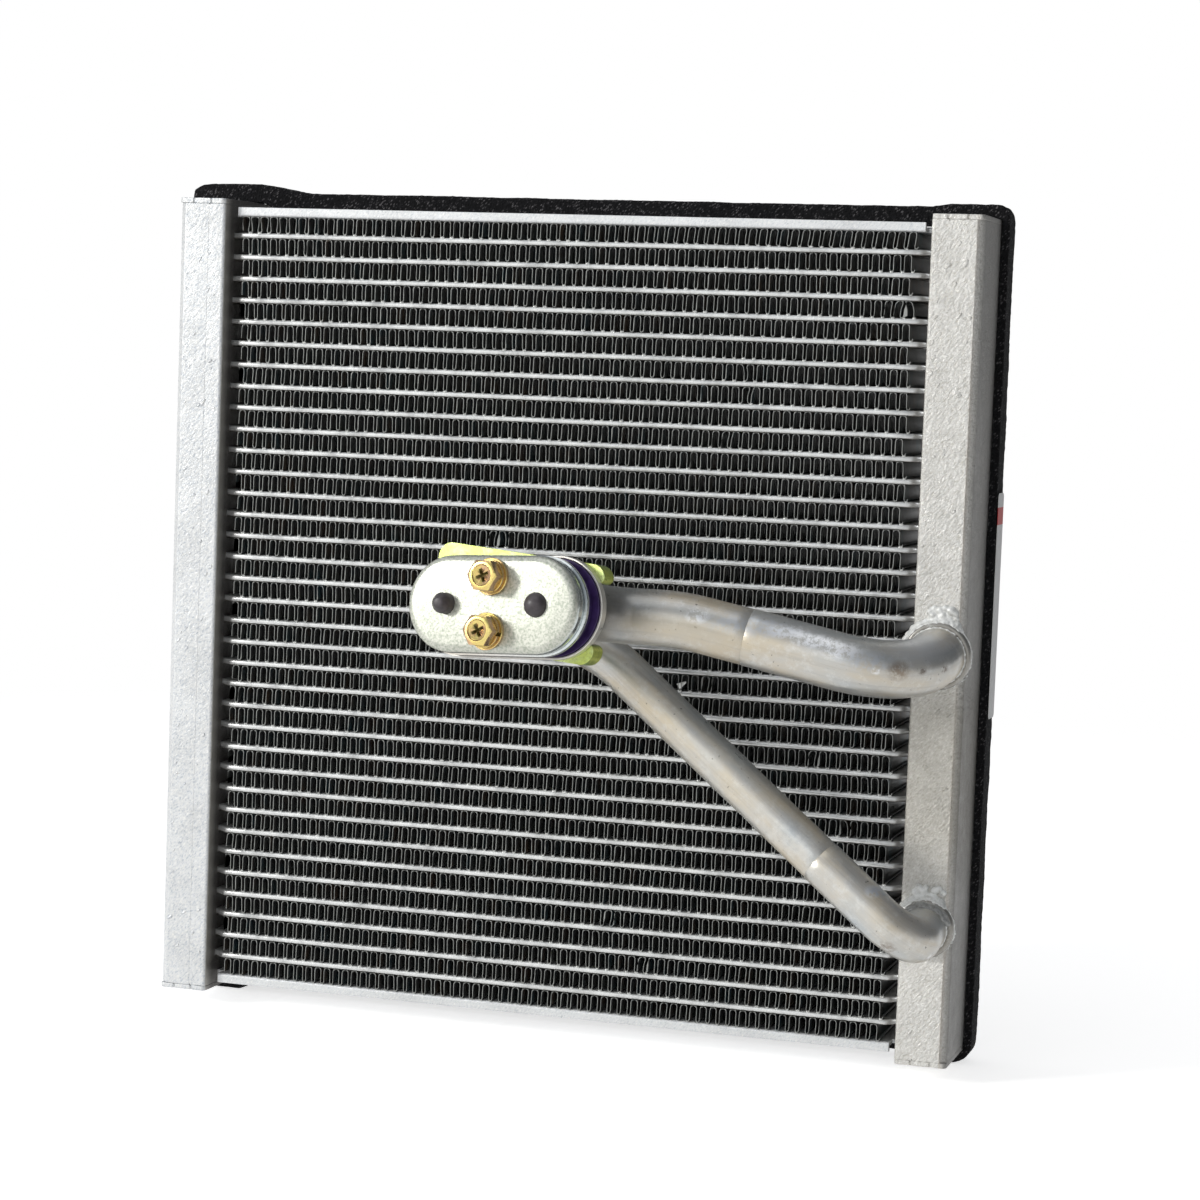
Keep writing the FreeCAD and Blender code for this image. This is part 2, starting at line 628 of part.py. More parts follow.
def screw():
    """Hexagon head with a chamfered face, and a shank down into the clamp plate."""
    seat = -FLAT_WASHER_THICK - SPRING_WASHER_THICK
    top = seat - HEAD_THICK
    corner = HEAD_ACROSS / math.sqrt(3)
    hexagon = []
    for index in range(6):
        angle = math.radians(60 * index)
        hexagon.append((corner * math.cos(angle), corner * math.sin(angle)))
    head = front_prism(hexagon, top, seat)
    flat = corner - HEAD_CHAMFER
    crown = turned([(0, top), (flat, top), (corner, top + HEAD_CHAMFER / 2), (corner, seat), (0, seat)])
    shank = Part.makeCylinder(SCREW_DIAMETER / 2, CLAMP_BACK - seat, Vector(0, seat, 0), INWARD)
    return head.common(crown).fuse(shank)


def at_screws(shape):
    """A copy of a fastener at each of the two screw places."""
    copies = []
    for side in (-1, 1):
        copy = shape.copy()
        copy.translate(Vector(0, 0, side * SCREW_HALF))
        copies.append(place(copy, SCREW_ROLL))
    return copies


def at_port(shape, side):
    copy = shape.copy()
    copy.translate(Vector(side * PORT_HALF, 0, 0))
    return place(copy, PORT_ROLL)


def make_flange_group():
    save("shipping_cap", place(cap(), PORT_ROLL))
    save("flange_seal", place(seal(), PORT_ROLL))
    save("valve_flange", place(flange(), PORT_ROLL))
    save("clamp_plate", place(clamp_plate(), CLAMP_ROLL))
    save("plug_left", at_port(left_plug(), -1))
    save("plug_right", at_port(right_plug(), 1))
    save("flat_washers", *at_screws(washer(FLAT_WASHER_OD, FLAT_WASHER_THICK, -FLAT_WASHER_THICK)))
    spring_seat = -FLAT_WASHER_THICK - SPRING_WASHER_THICK
    save("spring_washers", *at_screws(washer(SPRING_WASHER_OD, SPRING_WASHER_THICK, spring_seat)))
    save("screws", *at_screws(screw()))


# Pipes

def route(points, radii):
    """A wire of straight runs joined by tangent arcs, one radius for each inner point."""
    edges = []
    start = points[0]
    for before, corner, after, radius in zip(points, points[1:], points[2:], radii):
        back = (before - corner).normalize()
        ahead = (after - corner).normalize()
        turn = math.pi - back.getAngle(ahead)
        reach = radius * math.tan(turn / 2)
        inside = (back + ahead).normalize()
        crown = corner + inside * (radius / math.cos(turn / 2) - radius)
        arc_start, arc_end = corner + back * reach, corner + ahead * reach
        edges.append(Part.LineSegment(start, arc_start).toShape())
        edges.append(Part.Arc(arc_start, crown, arc_end).toShape())
        start = arc_end
    edges.append(Part.LineSegment(start, points[-1]).toShape())
    return Part.Wire(edges)


def pipe(points, radii, diameter):
    """A pipe wall swept along the route."""
    start, ahead = points[0], points[1] - points[0]
    outer = Part.Wire(Part.makeCircle(diameter / 2, start, ahead))
    inner = Part.Wire(Part.makeCircle(diameter / 2 - PIPE_WALL, start, ahead))
    return route(points, radii).makePipe(Part.Face([outer, inner]))


def out_front(x, out, z):
    """A point a given distance out from the front of the fins."""
    return Vector(x, FIN_FRONT - out, z)


def port_end(side, depth):
    return flange_frame().multVec(port_centre(side, depth))


def stub(height):
    """Where a pipe stands in its collar, and where it starts to turn away."""
    seat = Vector(HEADER_MIDDLE, HEADER_FRONT - COLLAR_THICK + COLLAR_SEAT, height)
    return [seat, seat - INWARD * (COLLAR_SEAT + STUB_RUN)]


def between(start, end, share):
    return start + (end - start) * share


def make_pipes():
    start = stub(SUCTION_PORT_HEIGHT)
    corner = out_front(HEADER_MIDDLE - SUCTION_CORNER_BACK, SUCTION_CORNER_OUT,
                       SUCTION_PORT_HEIGHT - SUCTION_CORNER_DROP)
    near = out_front(SUCTION_NEAR_ACROSS, SUCTION_NEAR_OUT, SUCTION_PORT_HEIGHT + SUCTION_NEAR_RISE)
    far = out_front(SUCTION_FAR_ACROSS, SUCTION_FAR_OUT, SUCTION_PORT_HEIGHT + SUCTION_FAR_RISE)
    joint = between(near, far, SUCTION_JOINT_SHARE)
    bends = [STUB_BEND, SUCTION_CORNER_BEND, SUCTION_NEAR_BEND]
    save("suction_elbow", pipe(start + [corner, near, joint], bends, SUCTION_OD))
    run = [joint, far, port_end(1, SUCTION_TURN_DEPTH), port_end(1, FLANGE_FLOOR)]
    save("suction_pipe", pipe(run, [SUCTION_FAR_BEND, FLANGE_BEND], SUCTION_OD))

    start = stub(LIQUID_PORT_HEIGHT)
    corner = out_front(HEADER_MIDDLE + LIQUID_CORNER_PAST, LIQUID_CORNER_OUT,
                       LIQUID_PORT_HEIGHT - LIQUID_CORNER_DROP)
    far = out_front(LIQUID_FAR_ACROSS, LIQUID_FAR_OUT, LIQUID_PORT_HEIGHT + LIQUID_FAR_RISE)
    joint = between(corner, far, LIQUID_JOINT_SHARE)
    save("liquid_elbow", pipe(start + [corner, joint], [STUB_BEND, LIQUID_CORNER_BEND], LIQUID_OD))
    run = [joint, far, port_end(-1, LIQUID_TURN_DEPTH), port_end(-1, FLANGE_FLOOR)]
    save("liquid_pipe", pipe(run, [LIQUID_FAR_BEND, FLANGE_BEND], LIQUID_OD))


def collar(collar_od, pipe_od, spigot_od, height):
    """Brazed collar on the header: the pipe stands in its seat and its spigot enters the tank."""
    outer, seat, spigot = collar_od / 2, pipe_od / 2 + BRAZE_GAP, spigot_od / 2
    bore = spigot - SPIGOT_WALL
    face = -COLLAR_THICK
    inner_end = HEADER_WALL + BRAZE_GAP + HEADER_WALL + SPIGOT_REACH
    profile = [(bore, inner_end), (bore, face + COLLAR_SEAT), (seat, face + COLLAR_SEAT), (seat, face)]
    profile += [(outer - COLLAR_ROUND, face), (outer, face + COLLAR_ROUND)]
    profile += [(outer, 0), (spigot, 0), (spigot, inner_end)]
    body = turned(profile)
    body.translate(Vector(HEADER_MIDDLE, HEADER_FRONT, height))
    return body


def make_collars():
    save("suction_collar", collar(SUCTION_COLLAR_OD, SUCTION_OD, SUCTION_SPIGOT_OD, SUCTION_PORT_HEIGHT))
    save("liquid_collar", collar(LIQUID_COLLAR_OD, LIQUID_OD, LIQUID_SPIGOT_OD, LIQUID_PORT_HEIGHT))


def main():
    os.makedirs("parts", exist_ok=True)
    make_core()
    make_headers()
    make_side_plates()
    make_foam()
    make_flange_group()
    make_pipes()
    make_collars()


main()
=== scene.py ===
"""Automotive evaporator core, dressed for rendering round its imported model.

Lengths in the property groups are metres. The shaping functions work in millimetres, in the part's
own frame, and each piece is brought to metres when it is finished.
"""

import math
import random

import bmesh
import bpy
from bpy.props import FloatProperty, FloatVectorProperty, IntProperty, PointerProperty
from mathutils import Matrix, Vector, noise


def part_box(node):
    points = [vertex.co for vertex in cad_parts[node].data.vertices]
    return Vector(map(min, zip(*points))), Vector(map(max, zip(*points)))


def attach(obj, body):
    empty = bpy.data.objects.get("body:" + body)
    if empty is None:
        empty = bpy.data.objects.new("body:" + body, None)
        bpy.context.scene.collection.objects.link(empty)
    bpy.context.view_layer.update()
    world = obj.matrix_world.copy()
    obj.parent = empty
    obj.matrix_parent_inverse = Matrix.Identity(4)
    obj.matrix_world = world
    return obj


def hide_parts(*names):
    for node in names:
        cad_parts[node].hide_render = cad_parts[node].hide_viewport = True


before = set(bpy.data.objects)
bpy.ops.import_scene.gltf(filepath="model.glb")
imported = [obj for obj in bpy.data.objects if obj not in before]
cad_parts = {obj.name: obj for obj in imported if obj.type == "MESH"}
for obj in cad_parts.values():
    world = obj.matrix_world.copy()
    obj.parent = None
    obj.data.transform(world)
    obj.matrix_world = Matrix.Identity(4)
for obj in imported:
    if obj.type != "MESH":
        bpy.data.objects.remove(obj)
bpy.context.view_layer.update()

bl_info = {
    "name": "Evaporator core",
    "version": (1, 0, 0),
    "blender": (4, 5, 0),
    "location": "View3D > Sidebar > Evaporator",
    "description": "Builds the visible pieces of an automotive evaporator core",
    "category": "Object",
}

MM = 0.001
WELD = 0.002
BODY = "root"
ACROSS = Vector((1, 0, 0))
INWARD = Vector((0, 1, 0))

# Core, in millimetres
TUBE_COUNT = 35
TUBE_PITCH = 6.4
TUBE_THICK = 1.6
TUBES_PER_BANK = 5
FINS_PER_BANK = 2
FIN_HEIGHT = TUBE_PITCH - TUBE_THICK
CORE_FRONT = -27.0
CORE_BACK = 3.0
CORE_MIDDLE = (CORE_FRONT + CORE_BACK) / 2
CORE_CENTRE = 124.0
CORE_HALF_WIDTH = 102.4
TUBE_REACH = 108.9
NECK_END = 106.3
NECK_SHARE = 11.8 / 15.0
SHOULDER_RUN = 1.2
SEAM_ACROSS = 111.3
FIN_INSET = 0.5

# Headers and their two ports
HEADER_INNER = 106.3
HEADER_OUTER = 121.2
HEADER_MIDDLE = 113.75
HEADER_FRONT = -31.0
HEADER_BACK = 7.0
HEADER_BOTTOM = 4.5
HEADER_TOP = 243.5
SUCTION_HEIGHT = 121.0
LIQUID_HEIGHT = 44.2
SUCTION_RADIUS = 15.88 / 2
LIQUID_RADIUS = 12.7 / 2
SUCTION_COLLAR = 9.5
LIQUID_COLLAR = 8.25
COLLAR_EDGE = 0.75

# Valve flange: the frame of the cap face, and what is turned in it
CAP_CENTRE = (3.26, -94.95, 133.18)
CAP_TURN = -11.5
CAP_TILT = -7.0
CAP_FRAME = (Matrix.Translation(CAP_CENTRE) @ Matrix.Rotation(math.radians(CAP_TURN), 4, "Z")
             @ Matrix.Rotation(math.radians(CAP_TILT), 4, "X"))
PORT_ROLL = -3.2
SCREW_ROLL = -0.7
PORT_HALF = 14.0
SCREW_HALF = 7.4
SCREW_TOP = -6.0
RECESS_DEPTH = 0.6
RECESS_RADIUS = 2.3
CAP_RUN = 13.2
CAP_RADIUS = 13.3
LEFT_PLUG_RADIUS = 2.85
RIGHT_PLUG_RADIUS = 3.3


class EvaporatorSizes(bpy.types.PropertyGroup):
    """Sizes of the visible detail."""

    fin_folds: IntProperty(name="Fin folds", description="Folds along one fin strip", default=68, min=8)
    fin_sheet: FloatProperty(name="Fin sheet", description="Thickness of the fin sheet",
                             default=0.00019, unit="LENGTH", precision=5)
    fin_wander: FloatProperty(name="Fin wander", description="How far the folds lean and wander",
                              default=0.00009, unit="LENGTH", precision=5)
    tube_nose: FloatProperty(name="Tube nose", description="Radius of the flat tubes' rounded edges",
                             default=0.00062, unit="LENGTH", precision=5)
    sheet_edge: FloatProperty(name="Sheet edge", description="Rounding of the pressed sheet pieces",
                              default=0.00028, unit="LENGTH", precision=5)
    seam_edge: FloatProperty(name="Seam edge", description="Rounding along the seams of the headers",
                             default=0.00005, unit="LENGTH", precision=5)
    pipe_ring: IntProperty(name="Pipe ring", description="Faces round a pipe", default=56, min=12)
    joint_step: FloatProperty(name="Joint step", description="How far an elbow stands over its pipe",
                              default=0.00002, unit="LENGTH", precision=5)
    joint_groove: FloatProperty(name="Joint groove",
                                description="Depth of the line between two pipe pieces",
                                default=0.00012, unit="LENGTH", precision=5)
    foam_grain: FloatProperty(name="Foam grain", description="Cell size of the foam's surface mesh",
                              default=0.0009, unit="LENGTH", precision=5)
    specks: IntProperty(name="Specks", description="Braze specks on one header", default=70, min=0)


def colour_property(label, text, value):
    """A colour setting with its default."""
    return FloatVectorProperty(name=label, description=text, default=value, subtype="COLOR", size=3,
                               min=0.0, max=1.0)


class EvaporatorColours(bpy.types.PropertyGroup):
    """Colours of the finishes, as linear values."""

    header: colour_property("Header", "Brazed aluminium, the warmer right header", (0.70, 0.69, 0.66))
    # Both headers are one metal; the left one's whiter colour is painted glare from the key lamp on the
    # left.
    header_left_lit: colour_property("Cool header", "Brazed aluminium, the whiter left header",
                                 (0.72, 0.735, 0.745))
    tube: colour_property("Tube", "Flat tube aluminium", (0.66, 0.67, 0.665))
    # The fin faces are painted dark, as the shade between the folds; their front edge is painted pale, as a
    # highlight.
    fin: colour_property("Fin", "Faces of the fin sheet", (0.115, 0.12, 0.118))
    fin_edge: colour_property("Fin edge", "Front edge of the fin sheet", (0.33, 0.34, 0.325))
    pipe: colour_property("Pipe", "Drawn pipe aluminium", (0.565, 0.545, 0.50))
    cap: colour_property("Cap", "Zinc plated cap", (0.65, 0.655, 0.585))
    cap_side: colour_property("Cap side", "Glossy side of the cap", (0.70, 0.69, 0.66))
    clamp: colour_property("Clamp plate", "Yellow green plating", (0.60, 0.71, 0.21))
    screw: colour_property("Screw", "Yellow plated screws", (0.74, 0.59, 0.20))
    seal: colour_property("Seal", "Purple rubber", (0.030, 0.014, 0.075))
    plug: colour_property("Plug", "Dark rubber plugs", (0.045, 0.038, 0.042))
    foam: colour_property("Foam", "Black foam", (0.005, 0.005, 0.006))
    label: colour_property("Label", "Paper label", (0.80, 0.80, 0.79))
    stripe: colour_property("Label stripe", "Plain band on the label", (0.55, 0.03, 0.03))


class EvaporatorStage(bpy.types.PropertyGroup):
    """Camera and light."""

    lens: FloatProperty(name="Lens", description="Focal length", default=90.0, subtype="DISTANCE_CAMERA")
    key_power: FloatProperty(name="Key", description="Power of the lamp from the left", default=12.5,
                             subtype="POWER", unit="POWER")
    fill_power: FloatProperty(name="Fill", description="Power of the broad lamps in front and above",
                              default=2.2, subtype="POWER", unit="POWER")
    sky: FloatProperty(name="Sky", description="Strength of the surroundings", default=0.46, min=0.0)


# Materials

def add(tree, kind, **values):
    """Add a node. A value goes to the socket of that name, or else to the setting of that name."""
    made = tree.nodes.new(kind)
    for name, value in values.items():
        socket = made.inputs.get(name.replace("_", " "))
        if socket is None:
            setattr(made, name, value)
        else:
            socket.default_value = value
    return made


def new_finish(name, colour, metallic, roughness):
    """A material with its colour, metalness and roughness set; returns it with its tree and shader."""
    material = bpy.data.materials.new(name)
    material.use_nodes = True
    shader = material.node_tree.nodes["Principled BSDF"]
    shader.inputs["Base Color"].default_value = (*colour, 1)
    shader.inputs["Metallic"].default_value = metallic
    shader.inputs["Roughness"].default_value = roughness
    return material, material.node_tree, shader


def place_pattern(tree, scale=(1, 1, 1), turn=(0, 0, 0), centre=(0, 0, 0), source=None):
    """Object coordinates, or a piece's own attribute, moved to a centre, turned and scaled."""
    if source is None:
        origin = add(tree, "ShaderNodeTexCoord").outputs["Object"]
    else:
        origin = add(tree, "ShaderNodeAttribute", attribute_name=source).outputs["Vector"]
    moved = add(tree, "ShaderNodeMapping", vector_type="TEXTURE", Location=centre, Rotation=turn)
    tree.links.new(origin, moved.inputs["Vector"])
    scaled = add(tree, "ShaderNodeMapping", Scale=scale)
    tree.links.new(moved.outputs["Vector"], scaled.inputs["Vector"])
    return scaled.outputs["Vector"]


def grain(tree, where, scale, detail=3.0, roughness=0.55, distortion=0.0):
    """Fractal noise from 0 to 1, its scale in waves per metre."""
    made = add(tree, "ShaderNodeTexNoise", Scale=scale, Detail=detail, Roughness=roughness,
               Distortion=distortion)
    tree.links.new(where, made.inputs["Vector"])
    return made.outputs["Fac"]


def cells(tree, where, scale):
    """Distance to the nearest of scattered points."""
    made = add(tree, "ShaderNodeTexVoronoi", Scale=scale)
    tree.links.new(where, made.inputs["Vector"])
    return made.outputs["Distance"]


def ramp(tree, source, *stops):
    """A colour ramp; each stop is a place from 0 to 1 and a grey or a colour."""
    made = add(tree, "ShaderNodeValToRGB")
    band = made.color_ramp
    while len(band.elements) < len(stops):
        band.elements.new(0.5)
    for element, (position, colour) in zip(band.elements, stops):
        shade = (colour,) * 3 if isinstance(colour, (int, float)) else colour
        element.position = position
        element.color = (*shade, 1)
    tree.links.new(source, made.inputs["Fac"])
    return made.outputs["Color"]


def mix(tree, factor, first, second, mode="MIX"):
    """Mix two colours or sockets by a number or a socket."""
    made = add(tree, "ShaderNodeMix", data_type="RGBA", blend_type=mode, clamp_result=True)
    for index, value in ((0, factor), (6, first), (7, second)):
        if isinstance(value, bpy.types.NodeSocket):
            tree.links.new(value, made.inputs[index])
        elif index == 0:
            made.inputs[index].default_value = value
        else:
            made.inputs[index].default_value = (*value, 1)
    return made.outputs[2]


def spread(tree, source, low, high, to_low, to_high):
    """Map a value from one range to another."""
    made = add(tree, "ShaderNodeMapRange", From_Min=low, From_Max=high, To_Min=to_low, To_Max=to_high)
    tree.links.new(source, made.inputs["Value"])
    return made.outputs["Result"]


def between(tree, place, low, high, to_low, to_high):
    """Go from one value to another between two places in millimetres."""
    return spread(tree, place, low * MM, high * MM, to_low, to_high)


def relief(tree, shader, *layers):
    """Stack bump layers, each a height, a strength and a distance in millimetres."""
    normal = None
    for height, strength, depth in layers:
        made = add(tree, "ShaderNodeBump", Strength=strength, Distance=depth * MM)
        tree.links.new(height, made.inputs["Height"])
        if normal is not None:
            tree.links.new(normal, made.inputs["Normal"])
        normal = made.outputs["Normal"]
    tree.links.new(normal, shader.inputs["Normal"])


def finish_shader(tree, shader, tone, rough, *layers):
    """Join the colour, the roughness if there is one, and the bump layers to the shader."""
    tree.links.new(tone, shader.inputs["Base Color"])
    if rough is not None:
        tree.links.new(rough, shader.inputs["Roughness"])
    relief(tree, shader, *layers)


def dimmed(colour, share):
    """A colour with its channels scaled, none past 1."""
    return tuple(min(1.0, channel * share) for channel in colour)


def patch_mask(tree, centre, size):
    """A soft ellipsoid round a point, both in millimetres: 1 at its middle, 0 outside."""
    scale = tuple(1.0 / (extent * MM) for extent in size)
    where = place_pattern(tree, scale=scale, centre=tuple(value * MM for value in centre))
    ball = add(tree, "ShaderNodeTexGradient", gradient_type="SPHERICAL")
    tree.links.new(where, ball.inputs["Vector"])
    return ball.outputs["Fac"]


def figure(tree, operation, *values, clamp=False):
    """A sum, product or other figure from one or two numbers or sockets."""
    made = add(tree, "ShaderNodeMath", operation=operation, use_clamp=clamp)
    for index, value in enumerate(values):
        if isinstance(value, bpy.types.NodeSocket):
            tree.links.new(value, made.inputs[index])
        else:
            made.inputs[index].default_value = value
    return made.outputs["Value"]


def product(tree, first, second):
    """Two masks multiplied."""
    return figure(tree, "MULTIPLY", first, second, clamp=True)


def parts(tree, where):
    """The x, y and z of a vector."""
    made = add(tree, "ShaderNodeSeparateXYZ")
    tree.links.new(where, made.inputs["Vector"])
    return made.outputs["X"], made.outputs["Y"], made.outputs["Z"]


def blend_shaders(tree, share, first, second):
    """One shader where the share is 0 and another where it is 1."""
    made = add(tree, "ShaderNodeMixShader")
    for index, value in enumerate((share, first, second)):
        tree.links.new(value, made.inputs[index])
    return made.outputs["Shader"]


def header_finish(colour, name, fleck, emboss, shade_towards_core=True, brown_corner_and_shade=0.0):
    """Brazed sheet, slanted flecks and grain, painted shade towards the core, one outer corner browned and
    shaded.
    """
    material, tree, shader = new_finish(name, colour, 0.40, 0.44)
    here = place_pattern(tree)
    slanted = place_pattern(tree, scale=(1, 1, 0.50), turn=(0, math.radians(42), 0))
    mottle = grain(tree, here, 70, detail=6, roughness=0.65)
    fine = grain(tree, slanted, 2300, detail=3, roughness=0.65)
    tone = ramp(tree, mottle, (0.32, dimmed(colour, 0.90)), (0.52, colour), (0.70, dimmed(colour, 1.08)))
    tone = mix(tree, 1.0, tone, ramp(tree, fine, (0.33, fleck), (0.47, 1.0), (0.75, 1.0)), "MULTIPLY")
    # Pale flecks in the fine grain: painted highlights on raised braze flecks.
    tone = mix(tree, ramp(tree, fine, (0.55, 0.0), (0.66, 0.75)), tone, (0.90, 0.895, 0.87))
    streaks = grain(tree, slanted, 950, detail=2)
    tone = mix(tree, 1.0, tone, ramp(tree, streaks, (0.22, dimmed(fleck, 0.95)), (0.32, 1.0)), "MULTIPLY")
    pits = ramp(tree, cells(tree, here, 420), (0.03, 0.45), (0.07, 1.0))
    rare = ramp(tree, grain(tree, here, 240, detail=1), (0.60, 0.0), (0.68, 1.0))
    tone = mix(tree, rare, tone, mix(tree, 1.0, tone, pits, "MULTIPLY"))
    x, y, z = parts(tree, here)
    # Painted shade on the inner side facing the core: light at its front edge, dark deep in the gap beside
    # the fins.
    if shade_towards_core:
        inner = between(tree, figure(tree, "ABSOLUTE", x), HEADER_INNER + 0.05, HEADER_INNER + 0.3,
                        0.9, 0.0)
        deep = between(tree, y, HEADER_FRONT + 1, HEADER_FRONT + 5, 0.0, 1.0)
        core_shade = ramp(tree, deep, (0.0, (0.44, 0.42, 0.385)), (1.0, (0.08, 0.07, 0.06)))
        tone = mix(tree, inner, tone, core_shade)
    # A brown tint at one outer corner, with painted shade on the outer side and a painted pipe shadow.
    if brown_corner_and_shade:
        edge = product(tree, between(tree, x, HEADER_OUTER - 2.4, HEADER_OUTER - 1.9, 0.0, brown_corner_and_shade),
                       between(tree, x, HEADER_OUTER - 1.8, HEADER_OUTER - 1.2, 1.0, 0.2))
        drift = ramp(tree, grain(tree, place_pattern(tree, scale=(1, 1, 0.2)), 120, detail=4),
                     (0.35, 0.45), (0.65, 1.0))
        tone = mix(tree, product(tree, edge, drift), tone, (0.38, 0.30, 0.22))
        # Painted shade on the outer side, which faces away from the key lamp.
        rim = between(tree, x, HEADER_OUTER - 1.8, HEADER_OUTER, 0.0, 0.75)
        tone = mix(tree, rim, tone, (0.20, 0.196, 0.19))
        # Painted shadow cast by the suction pipe on the front between the two ports.
        shaded = product(tree, between(tree, z, LIQUID_HEIGHT + 5.8, LIQUID_HEIGHT + 27.8, 0.0, 1.0),
                         between(tree, z, SUCTION_HEIGHT - 17, SUCTION_HEIGHT - 5, 1.0, 0.0))
        tone = mix(tree, shaded, tone, mix(tree, 1.0, tone, (0.80, 0.785, 0.75), "MULTIPLY"))
    finish_shader(tree, shader, tone, spread(tree, grain(tree, here, 300, detail=4), 0.3, 0.7, 0.34, 0.56),
                  (grain(tree, here, 110, detail=2), 0.30, 0.5), (fine, 0.60, emboss),
                  (grain(tree, slanted, 1000, detail=4), 0.75, emboss * 1.6),
                  (grain(tree, here, 520, detail=3), 0.35, 0.10))
    return material


def tube_finish(colour):
    """Extruded tube: bright, with fine lines along it, dulled flux and a painted brown shade on each tube's
    underside.
    """
    material, tree, shader = new_finish("Tube aluminium", colour, 0.6, 0.36)
    along = place_pattern(tree, scale=(0.12, 1, 1))
    here = place_pattern(tree)
    dull = grain(tree, here, 160, detail=5, roughness=0.65)
    tone = ramp(tree, dull, (0.33, dimmed(colour, 0.74)), (0.50, colour), (0.68, dimmed(colour, 1.15)))
    # Painted shade: a brown band along the lower edge of each tube's front.
    height = parts(tree, here)[2]
    lift = (TUBE_PITCH / 2 - CORE_CENTRE % TUBE_PITCH) % TUBE_PITCH
    within = figure(tree, "MODULO", figure(tree, "ADD", height, lift * MM), TUBE_PITCH * MM)
    shaded_underside = between(tree, within, TUBE_PITCH / 2 - 0.85, TUBE_PITCH / 2 - 0.45, 0.85, 0.0)
    finish_shader(tree, shader, mix(tree, shaded_underside, tone, (0.20, 0.165, 0.12)),
                  spread(tree, dull, 0.3, 0.7, 0.28, 0.52),
                  (grain(tree, along, 1600, detail=3), 0.30, 0.08),
                  (grain(tree, here, 700, detail=3), 0.45, 0.15))
    return material


def fin_finish(colour, edge_colour):
    """Thin folded sheet: painted highlight on the front edge, faces painted dark as shade, teal to brown,
    louvre lines.
    """
    material, tree, shader = new_finish("Fin aluminium", colour, 0.45, 0.42)
    here = place_pattern(tree)
    drift = grain(tree, place_pattern(tree, scale=(1, 0.3, 0.25)), 260, detail=3, roughness=0.6)
    teal, brown = (0.075, 0.135, 0.16), (0.175, 0.115, 0.075)
    tone = ramp(tree, drift, (0.30, teal), (0.45, colour), (0.56, colour), (0.72, brown))
    depth = parts(tree, here)[1]
    # Painted highlight: a pale band on the faces just behind the front edge, broken up in patches.
    edge = between(tree, depth, CORE_FRONT + 0.08, CORE_FRONT + 0.45, 1.0, 0.0)
    patchy = ramp(tree, grain(tree, here, 420, detail=3), (0.30, 0.45), (0.55, 1.0))
    louvres = add(tree, "ShaderNodeTexWave", wave_type="BANDS", bands_direction="Y", Scale=160.0,
                  Distortion=0.6)
    tree.links.new(here, louvres.inputs["Vector"])
    finish_shader(tree, shader, mix(tree, product(tree, edge, patchy), tone, edge_colour), None,
                  (louvres.outputs["Fac"], 0.35, 0.12), (grain(tree, here, 1500), 0.3, 0.05))
    return material


def pipe_finish(colour, name, marks=(), clouds=()):
    """Drawn pipe: lines along the run and oxide, with broken marks and soft clouds in given places.

    Each mark or cloud is a centre, a size, a colour and a share.
    """
    material, tree, shader = new_finish(name, colour, 0.62, 0.38)
    here = place_pattern(tree)
    drawn = place_pattern(tree, scale=(1, 1, 0.035), source="pipe_space")
    lines = grain(tree, drawn, 900, detail=5, roughness=0.65)
    cloud = grain(tree, place_pattern(tree, scale=(1, 1, 0.4), source="pipe_space"), 95, detail=5)
    warm = (colour[0] * 1.10, colour[1] * 1.01, colour[2] * 0.86)
    cool = (colour[0] * 0.84, colour[1] * 0.92, colour[2] * 1.02)
    tone = ramp(tree, cloud, (0.34, cool), (0.50, colour), (0.64, warm))
    bloom = ramp(tree, grain(tree, here, 330, detail=7, roughness=0.8), (0.50, 0.0), (0.66, 0.40))
    tone = mix(tree, bloom, tone, (0.80, 0.81, 0.80))
    tone = mix(tree, 0.6, tone, ramp(tree, lines, (0.25, 0.68), (0.50, 1.0), (0.8, 1.0)), "MULTIPLY")
    specks = ramp(tree, grain(tree, here, 800, detail=2, roughness=0.5), (0.24, 0.25), (0.30, 1.0))
    tone = mix(tree, 0.8, tone, specks, "MULTIPLY")
    # Some of the given clouds are painted shade and painted reflections.
    for centre, size, shade, share in clouds:
        tone = mix(tree, ramp(tree, patch_mask(tree, centre, size), (0.0, 0.0), (0.7, share)), tone, shade)
    breakup = ramp(tree, grain(tree, here, 520, detail=6, roughness=0.75), (0.43, 0.0), (0.54, 1.0))
    for centre, size, shade, share in marks:
        mask = ramp(tree, patch_mask(tree, centre, size), (0.0, 0.0), (0.55, share))
        tone = mix(tree, product(tree, mask, breakup), tone, shade)
    finish_shader(tree, shader, tone, spread(tree, cloud, 0.3, 0.7, 0.27, 0.46),
                  (grain(tree, here, 60, detail=2), 0.40, 0.6), (lines, 0.28, 0.06),
                  (grain(tree, here, 330, detail=4), 0.30, 0.16),
                  (grain(tree, here, 900, detail=3), 0.35, 0.08))
    return material


